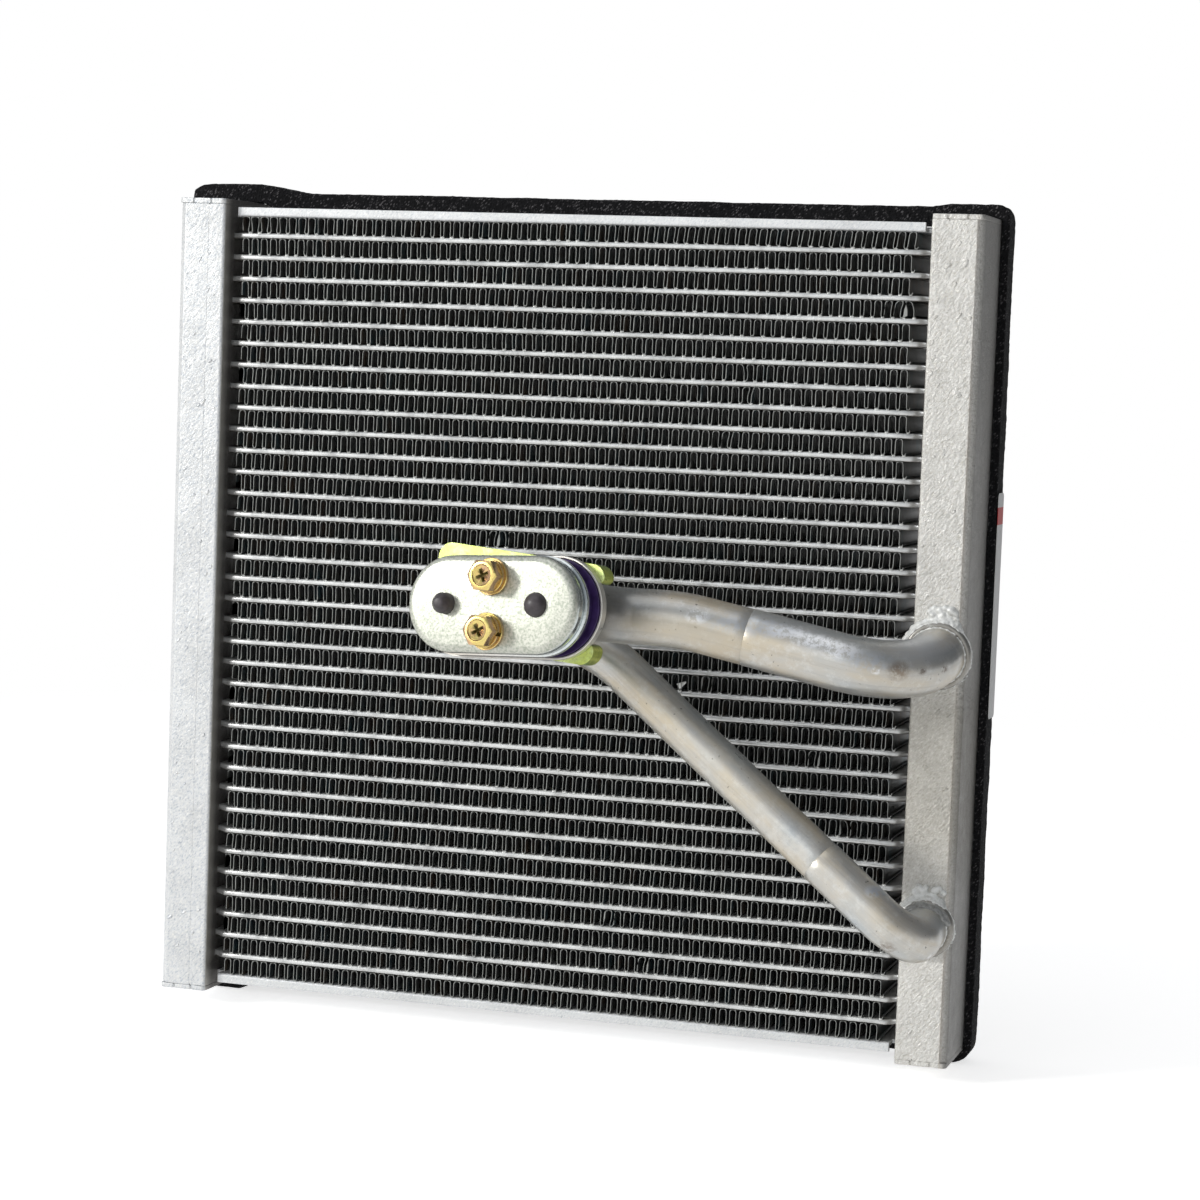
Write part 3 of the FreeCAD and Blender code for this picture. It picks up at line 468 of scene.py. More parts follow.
def cap_finish(colour, side_colour):
    """Zinc on drawn steel: a face with an even crystalline sparkle, and a smoother, shinier side with
    painted reflections.
    """
    material, tree, shader = new_finish("Cap zinc", colour, 0.55, 0.36)
    here = place_pattern(tree)
    own = place_pattern(tree, turn=(math.radians(CAP_TILT), 0, math.radians(CAP_TURN)),
                        centre=tuple(value * MM for value in CAP_CENTRE))
    x, y, _ = parts(tree, own)
    side = between(tree, y, 0.9, 2.0, 0.0, 1.0)
    cloud = grain(tree, here, 140, detail=5, roughness=0.6)
    sparkle = grain(tree, here, 1500, detail=3, roughness=0.65)
    tone = ramp(tree, cloud, (0.32, dimmed(colour, 0.93)), (0.55, colour), (0.72, dimmed(colour, 1.08)))
    tone = mix(tree, 0.9, tone, ramp(tree, sparkle, (0.36, (0.55, 0.61, 0.55)), (0.57, 1.0)), "MULTIPLY")
    # Painted reflections: the side runs from yellowish on the left to bluish on the right.
    across = between(tree, x, -26, 26, 0.0, 1.0)
    wall = ramp(tree, across, (0.10, (side_colour[0], side_colour[1] * 0.92, side_colour[2] * 0.82)),
                (0.55, side_colour), (0.95, (side_colour[0] * 0.86, side_colour[1] * 0.95, side_colour[2])))
    drawn = grain(tree, place_pattern(tree, scale=(1, 0.1, 1)), 900, detail=3)
    wall = mix(tree, 0.5, wall, ramp(tree, drawn, (0.30, 0.70), (0.55, 1.0)), "MULTIPLY")
    tree.links.new(spread(tree, side, 0.0, 1.0, 0.55, 0.95), shader.inputs["Metallic"])
    finish_shader(tree, shader, mix(tree, side, tone, wall), spread(tree, side, 0.0, 1.0, 0.36, 0.17),
                  (grain(tree, here, 90, detail=2), 0.25, 0.4), (cells(tree, here, 1300), 0.22, 0.06),
                  (grain(tree, here, 1700, detail=3), 0.30, 0.05))
    return material


def plated_finish(name, colour, tints, roughness, share, speckle=0.6):
    """Yellow chromate over zinc: the tint shifts in soft clouds and with the angle, partly its own play and
    partly painted shade edge-on.
    """
    material, tree, shader = new_finish(name, colour, 0.9, roughness)
    here = place_pattern(tree)
    # Faces seen edge-on take the last, darkest tints: painted shade, beside the chromate's own play of
    # colour.
    facing = add(tree, "ShaderNodeLayerWeight", Blend=0.4).outputs["Facing"]
    cloud = grain(tree, here, 230, detail=4, roughness=0.6, distortion=0.8)
    film_and_shade = spread(tree, figure(tree, "ADD", facing, cloud), 0.35, 1.35, 0.0, 1.0)
    stops = [(index / (len(tints) - 1), tint) for index, tint in enumerate(tints)]
    tone = mix(tree, share, colour, ramp(tree, film_and_shade, *stops))
    tone = mix(tree, speckle, tone, ramp(tree, grain(tree, here, 1300, detail=3), (0.3, 0.6), (0.55, 1.0)),
               "MULTIPLY")
    finish_shader(tree, shader, tone, spread(tree, cloud, 0.3, 0.7, roughness * 0.75, roughness * 1.3),
                  (grain(tree, here, 900, detail=3), 0.5 * speckle, 0.06))
    return material


def rubber_finish(name, colour, roughness):
    """Moulded rubber with a faint bloom."""
    material, tree, shader = new_finish(name, colour, 0.0, roughness)
    here = place_pattern(tree)
    bloom = grain(tree, here, 350, detail=5, roughness=0.65)
    tone = ramp(tree, bloom, (0.35, colour), (0.75, dimmed(colour, 2.1)))
    finish_shader(tree, shader, tone, spread(tree, bloom, 0.3, 0.7, roughness * 0.8, roughness * 1.3),
                  (grain(tree, here, 1400, detail=3), 0.35, 0.06))
    return material


def foam_finish(colour):
    """Black open foam: cell pits and sparse light specks."""
    material, tree, shader = new_finish("Foam black", colour, 0.0, 0.92)
    here = place_pattern(tree)
    coarse = grain(tree, here, 650, detail=4, roughness=0.7)
    tone = ramp(tree, coarse, (0.35, dimmed(colour, 0.6)), (0.55, colour), (0.8, dimmed(colour, 3.0)))
    slanted = place_pattern(tree, scale=(1, 1, 0.45), turn=(0, math.radians(42), 0))
    specks = ramp(tree, cells(tree, slanted, 1900), (0.20, 1.0), (0.42, 0.0))
    spots = ramp(tree, grain(tree, here, 500, detail=3), (0.42, 0.0), (0.58, 1.0))
    tone = mix(tree, product(tree, specks, spots), tone, (0.12, 0.115, 0.12))
    shader.inputs["Specular IOR Level"].default_value = 0.25
    finish_shader(tree, shader, tone, None, (cells(tree, here, 1500), 0.9, 0.35), (coarse, 0.8, 0.4))
    return material


# Where the label's band begins and ends, down from its top, and how soft its edges are
BAND_TOP = 4.0
BAND_FOOT = 9.2
BAND_EDGE = 0.2


def label_finish(colour, stripe):
    """Coated paper with one plain band across it."""
    material, tree, shader = new_finish("Label paper", colour, 0.0, 0.5)
    here = place_pattern(tree)
    height = parts(tree, here)[2]
    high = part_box("label")[1]
    top = high.z / MM
    foot = between(tree, height, top - BAND_FOOT, top - BAND_FOOT + BAND_EDGE, 0.0, 1.0)
    head = between(tree, height, top - BAND_TOP - BAND_EDGE, top - BAND_TOP, 1.0, 0.0)
    inside = product(tree, foot, head)
    fibre = grain(tree, here, 900, detail=5)
    paper = ramp(tree, fibre, (0.3, dimmed(colour, 0.93)), (0.6, colour))
    finish_shader(tree, shader, mix(tree, inside, paper, stripe), None, (fibre, 0.2, 0.03))
    return material


def braze_finish(name="Braze", shade=1.0):
    """Braze metal and flux: whitish, rough and lumpy."""
    material, tree, shader = new_finish(name, dimmed((0.66, 0.67, 0.64), shade), 0.30, 0.5)
    here = place_pattern(tree)
    crust = grain(tree, here, 700, detail=5, roughness=0.7)
    tone = ramp(tree, crust, (0.30, dimmed((0.50, 0.49, 0.46), shade)),
                (0.44, dimmed((0.78, 0.79, 0.77), shade)), (0.60, dimmed((0.90, 0.91, 0.90), shade)))
    finish_shader(tree, shader, tone, None, (crust, 0.35, 0.15),
                  (grain(tree, here, 1900, detail=3), 0.5, 0.08))
    return material


# Shaping

def vertices(made):
    """The vertices that a bmesh operator made."""
    return [item for item in made["geom"] if isinstance(item, bmesh.types.BMVert)]


def edges(made):
    """The edges that a bmesh operator made."""
    return [item for item in made["geom"] if isinstance(item, bmesh.types.BMEdge)]


def finish_piece(name, bm, material, nodes=(), smooth=35.0, even=False, weld=True):
    """Bring a millimetre bmesh to metres and make it a piece that stands for some nodes."""
    if weld:
        bmesh.ops.remove_doubles(bm, verts=bm.verts, dist=WELD)
        bmesh.ops.recalc_face_normals(bm, faces=bm.faces)
    bmesh.ops.scale(bm, vec=(MM, MM, MM), verts=bm.verts)
    mesh = bpy.data.meshes.new(name)
    bm.to_mesh(mesh)
    bm.free()
    mesh.polygons.foreach_set("use_smooth", [True] * len(mesh.polygons))
    mesh.set_sharp_from_angle(angle=math.radians(smooth))
    mesh.materials.append(material)
    piece = bpy.data.objects.new(name, mesh)
    bpy.context.scene.collection.objects.link(piece)
    if even:
        weighted = piece.modifiers.new("Even shading", "WEIGHTED_NORMAL")
        weighted.keep_sharp = True
    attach(piece, BODY)
    if nodes:
        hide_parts(*nodes)
    return piece


def renew_surface(piece, cell, material):
    """Remesh a piece with even cells, their size in metres, and keep it smooth and its material on."""
    bpy.context.view_layer.objects.active = piece
    piece.data.remesh_voxel_size = cell
    bpy.ops.object.voxel_remesh()
    piece.data.polygons.foreach_set("use_smooth", [True] * len(piece.data.polygons))
    if not piece.data.materials:
        piece.data.materials.append(material)


def welded_copy(node):
    """A millimetre copy of one node, its triangles welded and its flat areas joined."""
    bm = bmesh.new()
    bm.from_mesh(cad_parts[node].data)
    bmesh.ops.scale(bm, vec=(1 / MM,) * 3, verts=bm.verts)
    bmesh.ops.remove_doubles(bm, verts=bm.verts, dist=WELD)
    bmesh.ops.dissolve_limit(bm, angle_limit=math.radians(0.4), verts=bm.verts, edges=bm.edges)
    return bm


def on_seam(edge):
    """Whether an edge lies on the line where a header plate ends on its tank."""
    return all(abs(abs(vert.co.x) - SEAM_ACROSS) < 0.05 for vert in edge.verts)


def soften(bm, width, segments=2, angle=30.0, chosen=None):
    """Round every edge that is sharper than an angle, or those of them that a test chooses."""
    limit = math.radians(angle)
    sharp = [edge for edge in bm.edges if len(edge.link_faces) == 2 and edge.calc_face_angle(0) > limit
             and (chosen is None or chosen(edge))]
    bmesh.ops.bevel(bm, geom=sharp, offset=width, offset_type="OFFSET", segments=segments, profile=0.5,
                    affect="EDGES", material=-1, clamp_overlap=True)


def spun(profile, steps, angle=math.tau):
    """Turn an (r, y) profile about the depth axis; a full turn is closed."""
    bm = bmesh.new()
    points = [bm.verts.new((r, y, 0)) for r, y in profile]
    lines = [bm.edges.new(pair) for pair in zip(points, points[1:])]
    full = abs(angle - math.tau) < 1e-6
    bmesh.ops.spin(bm, geom=points + lines, cent=(0, 0, 0), axis=INWARD, angle=angle, steps=steps,
                   use_merge=full, use_normal_flip=False)
    bmesh.ops.remove_doubles(bm, verts=bm.verts, dist=WELD)
    bmesh.ops.recalc_face_normals(bm, faces=bm.faces)
    return bm


def quarter_round(r, y, radius, steps):
    """Profile points round a quarter circle about (r, y), the first one left out."""
    angles = [math.radians(90 * step / steps) for step in range(1, steps + 1)]
    return [(r + radius * math.sin(angle), y - radius * math.cos(angle)) for angle in angles]


def set_in_cap_frame(bm, roll, offset=(0, 0, 0), turn=0.0):
    """Turn a shape about its depth axis, move it in a rolled cap frame, and on to the part's frame."""
    matrix = (CAP_FRAME @ Matrix.Rotation(math.radians(roll), 4, "Y") @ Matrix.Translation(offset)
              @ Matrix.Rotation(math.radians(turn), 4, "Y"))
    bmesh.ops.transform(bm, matrix=matrix, verts=bm.verts)


def join(target, source):
    """Add one bmesh to another and free it."""
    mesh = bpy.data.meshes.new("joined")
    source.to_mesh(mesh)
    source.free()
    target.from_mesh(mesh)
    bpy.data.meshes.remove(mesh)


def ripple(point, scale, seed):
    """Smooth noise from -1 to 1 at a point, its scale in waves per millimetre."""
    return noise.noise(Vector(point) * scale + Vector((seed * 7.31, seed * 3.77, seed * 5.13)))


def tube_height(index):
    """Height of one tube's middle, counted from the lowest."""
    return CORE_CENTRE + (index - (TUBE_COUNT - 1) / 2) * TUBE_PITCH


# Core

# Lean and bulge added to single folds, by row and fold
BENT_FOLDS = {(32, 65): (0.25, -0.2), (32, 66): (0.5, -0.4), (32, 67): (-0.4, 0.4), (21, 27): (0.3, -0.35),
              (21, 28): (-0.2, 0.25), (28, 52): (0.35, -0.35), (29, 51): (-0.3, 0.3), (2, 44): (0.3, -0.3),
              (15, 49): (0.3, 0.2), (12, 60): (0.3, -0.25), (9, 63): (-0.3, 0.3),
              (26, 50): (0.25, -0.25), (4, 40): (0.25, 0.2)}
LOOP_SPREAD = 0.16
# The top row's first folds bulge into bulbs
BULB = 0.46
BULB_FOLDS = 12
# Share of the bends, and of the necks' edges, that carry no braze
BARE_BENDS = 0.12
BARE_NECKS = 0.25


def row_drift(x, row):
    """How far across a place along one row of fins lies off its even spot."""
    return 0.30 * math.sin(row * 2.4) + 0.45 * math.sin(x * 0.045 + row * 1.7)


def fin_template(folds, sheet):
    """One straight strip: a line folded over half-round bends, drawn back and given its thickness."""
    bm = bmesh.new()
    pitch = 2 * (CORE_HALF_WIDTH - FIN_INSET) / folds
    bend = pitch / 4
    reach = FIN_HEIGHT / 2 - bend
    tip = bm.verts.new((-CORE_HALF_WIDTH + FIN_INSET, CORE_FRONT, -reach))
    for _ in range(folds):
        for direction in (1, -1):
            for rise in (reach, reach):
                made = bmesh.ops.extrude_vert_indiv(bm, verts=[tip])
                tip = made["verts"][0]
                tip.co.z += direction * rise
            centre = tip.co + ACROSS * bend
            made = bmesh.ops.spin(bm, geom=[tip], cent=centre, axis=INWARD, angle=direction * math.pi,
                                  steps=4)
            tip = next(item for item in made["geom_last"] if isinstance(item, bmesh.types.BMVert))
    made = bmesh.ops.extrude_edge_only(bm, edges=bm.edges)
    bmesh.ops.translate(bm, vec=INWARD * (CORE_BACK - CORE_FRONT), verts=vertices(made))
    bmesh.ops.recalc_face_normals(bm, faces=bm.faces)
    bmesh.ops.solidify(bm, geom=bm.faces, thickness=sheet)
    mesh = bpy.data.meshes.new("fin template")
    bm.to_mesh(mesh)
    bm.free()
    return mesh, pitch


def fold_shape(row, folds, wander):
    """Lean and bulge of each fold of one row."""
    rng = random.Random(900 + row)
    shapes = []
    for fold in range(folds + 1):
        place = fold / folds
        slow = ripple((fold * 0.11, row * 0.9, 0), 1, 3)
        lean = wander * (0.5 + 1.6 * slow) + rng.gauss(0, wander * 0.35)
        bulge = wander * 1.1 * ripple((fold * 0.17, row * 1.3, 5), 1, 4) + rng.gauss(0, wander * 0.35)
        # The top row leans more along its length and bulges at its start
        if row == TUBE_COUNT:
            lean += 0.34 * (place - 0.25)
            bulge += 0.30 * max(0.0, 0.35 - place)
        # The lower rows bulge more near the right header
        if place > 0.72 and row < 22:
            bulge += wander * 1.3 * (place - 0.72) / 0.28
        bent = BENT_FOLDS.get((row, fold))
        if bent:
            lean += bent[0]
            bulge += bent[1]
        shapes.append((lean, bulge))
    return shapes


def bank_of_fins(bm, template, pitch, row, folds, wander):
    """Add one row to a bank, its folds leaning and wandering as brazed fins do."""
    first = len(bm.verts)
    bm.from_mesh(template)
    bm.verts.ensure_lookup_table()
    height = tube_height(row) - TUBE_PITCH / 2
    shapes = fold_shape(row, folds, wander)
    limit = CORE_HALF_WIDTH - 0.05
    half = FIN_HEIGHT / 2
    for vert in bm.verts[first:]:
        x, y, z = vert.co
        along = (x + CORE_HALF_WIDTH - FIN_INSET) / pitch
        fold = min(folds, max(0, int(along)))
        lean, bulge = shapes[fold]
        swing = 1 - abs(4 * (along - math.floor(along)) - 2)
        widen = LOOP_SPREAD
        if row == TUBE_COUNT:
            widen += BULB * max(0.0, 1 - fold / BULB_FOLDS) * (0.2 + 0.8 * z / half)
        x += widen * swing + lean * z / half + bulge * math.cos(z / half * math.pi / 2)
        x += row_drift(x, row)
        vert.co = (max(-limit, min(limit, x)), y, height + max(-half, min(half, z)))


def fin_fillets(folds, pitch):
    """Small drops of braze where the lower bends meet the tubes, and a loose chip of sheet."""
    bm = bmesh.new()
    drop = bmesh.new()
    bmesh.ops.create_icosphere(drop, subdivisions=1, radius=0.5)
    bmesh.ops.scale(drop, vec=(1.25, 0.5, 0.62), verts=drop.verts)
    mesh = bpy.data.meshes.new("drop")
    drop.to_mesh(mesh)
    drop.free()
    rng = random.Random(515)
    for row in range(1, TUBE_COUNT + 1):
        floor = tube_height(row) - TUBE_PITCH + TUBE_THICK / 2
        for fold in range(folds):
            x = (fold + 0.75) * pitch - CORE_HALF_WIDTH + FIN_INSET
            x += row_drift(x, row) + rng.uniform(-0.12, 0.12)
            if rng.random() < BARE_BENDS:
                continue
            first = len(bm.verts)
            bm.from_mesh(mesh)
            bm.verts.ensure_lookup_table()
            size = rng.uniform(0.7, 1.25)
            matrix = Matrix.Translation((x, CORE_FRONT + 0.30, floor + 0.05)) @ Matrix.Scale(size, 4)
            bmesh.ops.transform(bm, matrix=matrix, verts=bm.verts[first:])
    bpy.data.meshes.remove(mesh)
    chip = bmesh.new()
    bmesh.ops.create_cube(chip, size=1.0)
    bmesh.ops.subdivide_edges(chip, edges=chip.edges, cuts=2, use_grid_fill=True)
    for vert in chip.verts:
        vert.co.y += 0.9 * vert.co.x * vert.co.x
        vert.co.z *= 0.75 - 0.9 * vert.co.x
    matrix = (Matrix.Translation((38.9, CORE_FRONT + 0.25, 107.6))
              @ Matrix.Rotation(math.radians(-32), 4, "Y") @ Matrix.Diagonal((2.7, 0.45, 1.5, 1.0)))
    bmesh.ops.transform(chip, matrix=matrix, verts=chip.verts)
    join(bm, chip)
    return bm


class EVAPORATOR_OT_fins(bpy.types.Operator):
    """Fold the fin strips between the tubes"""

    bl_idname = "evaporator.fins"
    bl_label = "Fin strips"

    def execute(self, context):
        sizes = context.scene.evaporator_sizes
        colours = context.scene.evaporator_colours
        finish = fin_finish(colours.fin, colours.fin_edge)
        template, pitch = fin_template(sizes.fin_folds, sizes.fin_sheet / MM)
        rows = range(TUBE_COUNT + 1)
        for bank in range(0, len(rows), FINS_PER_BANK):
            bm = bmesh.new()
            for row in rows[bank:bank + FINS_PER_BANK]:
                bank_of_fins(bm, template, pitch, row, sizes.fin_folds, sizes.fin_wander / MM)
            number = bank // FINS_PER_BANK + 1
            finish_piece("fin_strips_%02d" % number, bm, finish, ["fins_%02d" % number],
                         smooth=40, weld=False)
        bpy.data.meshes.remove(template)
        finish_piece("fin_braze_drops", fin_fillets(sizes.fin_folds, pitch), braze_finish("Fin braze"),
                     smooth=70, weld=False)
        return {"FINISHED"}


# How far a tube's middle wanders up and down, and its front edge in
TUBE_SWAY = 0.07
TUBE_DENT = 0.10


def tube_template(nose):
    """One flat tube with rounded edges, drawn in to a neck at each header."""
    bm = bmesh.new()
    half = TUBE_THICK / 2
    section = [(CORE_FRONT, -half), (CORE_BACK, -half), (CORE_BACK, half), (CORE_FRONT, half)]
    end = bm.faces.new([bm.verts.new((-TUBE_REACH, y, z)) for y, z in section])
    stations = [-NECK_END, -CORE_HALF_WIDTH - SHOULDER_RUN, -CORE_HALF_WIDTH]
    stations += [-CORE_HALF_WIDTH + index * CORE_HALF_WIDTH / 16 for index in range(1, 32)]
    stations += [CORE_HALF_WIDTH, CORE_HALF_WIDTH + SHOULDER_RUN, NECK_END, TUBE_REACH]
    for x in stations:
        made = bmesh.ops.extrude_face_region(bm, geom=[end])
        for vert in vertices(made):
            vert.co.x = x
        if x < TUBE_REACH and end.is_valid:
            bm.faces.remove(end)
        end = next(item for item in made["geom"] if isinstance(item, bmesh.types.BMFace))
    bmesh.ops.recalc_face_normals(bm, faces=bm.faces)
    along = [edge for edge in bm.edges
             if abs((edge.verts[0].co - edge.verts[1].co).normalized().x) > 0.99]
    bmesh.ops.bevel(bm, geom=along, offset=nose, offset_type="OFFSET", segments=3, profile=0.5,
                    affect="EDGES", material=-1)
    for vert in bm.verts:
        if abs(vert.co.x) > NECK_END - 0.01:
            vert.co.y = CORE_MIDDLE + (vert.co.y - CORE_MIDDLE) * NECK_SHARE
        elif abs(vert.co.x) > CORE_HALF_WIDTH + 1:
            vert.co.y = CORE_MIDDLE + (vert.co.y - CORE_MIDDLE) * (0.7 + 0.3 * NECK_SHARE)
    mesh = bpy.data.meshes.new("tube template")
    bm.to_mesh(mesh)
    bm.free()
    return mesh


class EVAPORATOR_OT_tubes(bpy.types.Operator):
    """Lay the flat tubes across the core"""

    bl_idname = "evaporator.tubes"
    bl_label = "Flat tubes"

    def execute(self, context):
        template = tube_template(context.scene.evaporator_sizes.tube_nose / MM)
        finish = tube_finish(context.scene.evaporator_colours.tube)
        for bank in range(0, TUBE_COUNT, TUBES_PER_BANK):
            bm = bmesh.new()
            for index in range(bank, bank + TUBES_PER_BANK):
                first = len(bm.verts)
                bm.from_mesh(template)
                bm.verts.ensure_lookup_table()
                for vert in bm.verts[first:]:
                    sway = ripple((vert.co.x, 0, index * 40), 0.05, 11)
                    vert.co.z += tube_height(index) + TUBE_SWAY * sway
                    if vert.co.y < CORE_MIDDLE and abs(vert.co.x) < CORE_HALF_WIDTH:
                        vert.co.y += TUBE_DENT * (1 + ripple((vert.co.x, 3, index * 40), 0.12, 12))
            number = bank // TUBES_PER_BANK + 1
            finish_piece("flat_tubes_%d" % number, bm, finish, ["tubes_%d" % number],
                         smooth=50)
        bpy.data.meshes.remove(template)
        return {"FINISHED"}


# Headers and side plates

def speck_cluster(side, count, seed):
    """Small flattened drops of braze on the front of one header."""
    rng = random.Random(seed)
    bm = bmesh.new()
    for _ in range(count):
        x = side * rng.uniform(HEADER_INNER + 1.2, HEADER_OUTER - 2.6)
        z = rng.uniform(HEADER_BOTTOM + 4, HEADER_TOP - 4)
        size = rng.uniform(0.16, 0.50)
        made = bmesh.ops.create_icosphere(bm, subdivisions=2, radius=size)
        stretch = rng.uniform(1.2, 2.6)
        matrix = (Matrix.Translation((x, HEADER_FRONT, z))
                  @ Matrix.Rotation(math.radians(rng.uniform(25, 60)), 4, "Y")
                  @ Matrix.Diagonal((1.0, 0.5, stretch, 1.0)))
        bmesh.ops.transform(bm, matrix=matrix, verts=made["verts"])
        for vert in made["verts"]:
            vert.co += (vert.co - Vector((x, HEADER_FRONT, z))) * 0.35 * ripple(vert.co, 2.5, seed)
    return bm


def neck_lumps(seed):
    """Lumps of braze where the tubes' necks enter the right header plate."""
    rng = random.Random(seed)
    bm = bmesh.new()
    front = CORE_MIDDLE + (CORE_FRONT - CORE_MIDDLE) * NECK_SHARE
    for index in range(TUBE_COUNT):
        for edge in (-1, 1):
            if rng.random() < BARE_NECKS:
                continue
            size = rng.uniform(0.45, 0.85)
            spot = Vector((HEADER_INNER - 0.15, front + rng.uniform(-0.3, 0.9),
                           tube_height(index) + edge * rng.uniform(0.5, 1.0)))
            made = bmesh.ops.create_icosphere(bm, subdivisions=2, radius=size)
            for vert in made["verts"]:
                vert.co += vert.co * 0.4 * ripple(vert.co + spot, 1.6, seed)
                vert.co += spot
    return bm


class EVAPORATOR_OT_headers(bpy.types.Operator):
    """Round the edges of the header plates, tanks and end lids and add braze specks"""

    bl_idname = "evaporator.headers"
    bl_label = "Headers"

    def execute(self, context):
        sizes = context.scene.evaporator_sizes
        colours = context.scene.evaporator_colours
        braze = braze_finish()
        cool = header_finish(colours.header_left_lit, "Header aluminium left", (0.68, 0.72, 0.78), 0.12)
        warm = header_finish(colours.header, "Header aluminium right", (0.80, 0.78, 0.74), 0.40,
                             brown_corner_and_shade=0.35)
        for side, name, finish in ((-1, "left", cool), (1, "right", warm)):
            for node in ("header_plate_" + name, "tank_" + name, "end_lid_top_" + name,
                         "end_lid_bottom_" + name):
                bm = welded_copy(node)
                soften(bm, sizes.sheet_edge / MM, chosen=lambda edge: not on_seam(edge))
                soften(bm, sizes.seam_edge / MM, segments=1, chosen=on_seam)
                finish_piece(node + "_sheet", bm, finish, [node], even=True)
            seams = bmesh.new()
            for middle in (HEADER_FRONT + 0.34, HEADER_BACK - 0.34):
                made = bmesh.ops.create_cube(seams, size=1.0)
                matrix = (Matrix.Translation((side * SEAM_ACROSS, middle, CORE_CENTRE))
                          @ Matrix.Diagonal((0.5, 0.6, HEADER_TOP - HEADER_BOTTOM - 4, 1.0)))
                bmesh.ops.transform(seams, matrix=matrix, verts=made["verts"])
            finish_piece("seam_line_" + name, seams, finish, weld=False)
            finish_piece("braze_specks_" + name, speck_cluster(side, sizes.specks, 40 + side), finish,
                         smooth=60)
        finish_piece("neck_braze_right", neck_lumps(62), braze, smooth=70, weld=False)
        return {"FINISHED"}


class EVAPORATOR_OT_side_plates(bpy.types.Operator):
    """Round the edges of the two side plates"""

    bl_idname = "evaporator.side_plates"
    bl_label = "Side plates"

    def execute(self, context):
        # The side plates reuse the left header's colour, with its painted glare.
        finish = header_finish(dimmed(context.scene.evaporator_colours.header_left_lit, 1.04),
                               "Side plate aluminium", (0.80, 0.82, 0.84), 0.10, shade_towards_core=False)
        for node in ("side_plate_top", "side_plate_bottom"):
            bm = welded_copy(node)
            soften(bm, context.scene.evaporator_sizes.sheet_edge / MM * 0.6)
            finish_piece(node + "_sheet", bm, finish, [node], even=True)
        return {"FINISHED"}


# Foam band and label

FOAM_JOINTS = (14.5, 233.5, 243.5)
FOAM_END_AREA = 60.0
FOAM_REACH = 1.6
FOAM_EDGE = 0.9


def reach_past_joints(bm):
    """Lengthen a strip a little into its neighbours, and return the vertices that moved."""
    moved = {}
    for face in bm.faces:
        height = face.calc_center_median().z
        at_joint = abs(face.normal.z) > 0.9 and any(abs(height - joint) < 0.1 for joint in FOAM_JOINTS)
        if at_joint and face.calc_area() < FOAM_END_AREA:
            moved.update((vert, math.copysign(FOAM_REACH, face.normal.z)) for vert in face.verts)
    for vert, step in moved.items():
        vert.co.z += step
    return set(moved)


class EVAPORATOR_OT_foam(bpy.types.Operator):
    """Lay the foam band round the rear edge, soft and slightly uneven"""

    bl_idname = "evaporator.foam"
    bl_label = "Foam band"

    def execute(self, context):
        finish = foam_finish(context.scene.evaporator_colours.foam)
        for node in ("foam_top", "foam_bottom", "foam_left", "foam_right"):
            bm = welded_copy(node)
            ends = reach_past_joints(bm)
            soften(bm, FOAM_EDGE, segments=3, chosen=lambda edge: not ends.intersection(edge.verts))
            piece = finish_piece(node + "_strip", bm, finish, [node])
            renew_surface(piece, context.scene.evaporator_sizes.foam_grain, finish)
            normals = [vert.normal.copy() for vert in piece.data.vertices]
            for vert, normal in zip(piece.data.vertices, normals):
                spot = vert.co / MM
                sink = 0.14 * (1 + ripple(spot, 0.9, 2)) + 0.18 * (1 + ripple(spot, 0.12, 9))
                vert.co -= normal * sink * MM
        return {"FINISHED"}


class EVAPORATOR_OT_label(bpy.types.Operator):
    """Stick the paper label on the right foam strip"""

    bl_idname = "evaporator.label"
    bl_label = "Label"

    def execute(self, context):
        colours = context.scene.evaporator_colours
        bm = welded_copy("label")
        soften(bm, 0.03)
        finish = label_finish(colours.label, colours.stripe)
        finish_piece("label_sheet", bm, finish, ["label"], even=True)
        return {"FINISHED"}


# Pipes

LIP_RUN = 0.15
PIPE_END = 11.6
RUN_STEP = 3.0
BEND_STEP = 1.2
WAVER = 0.10


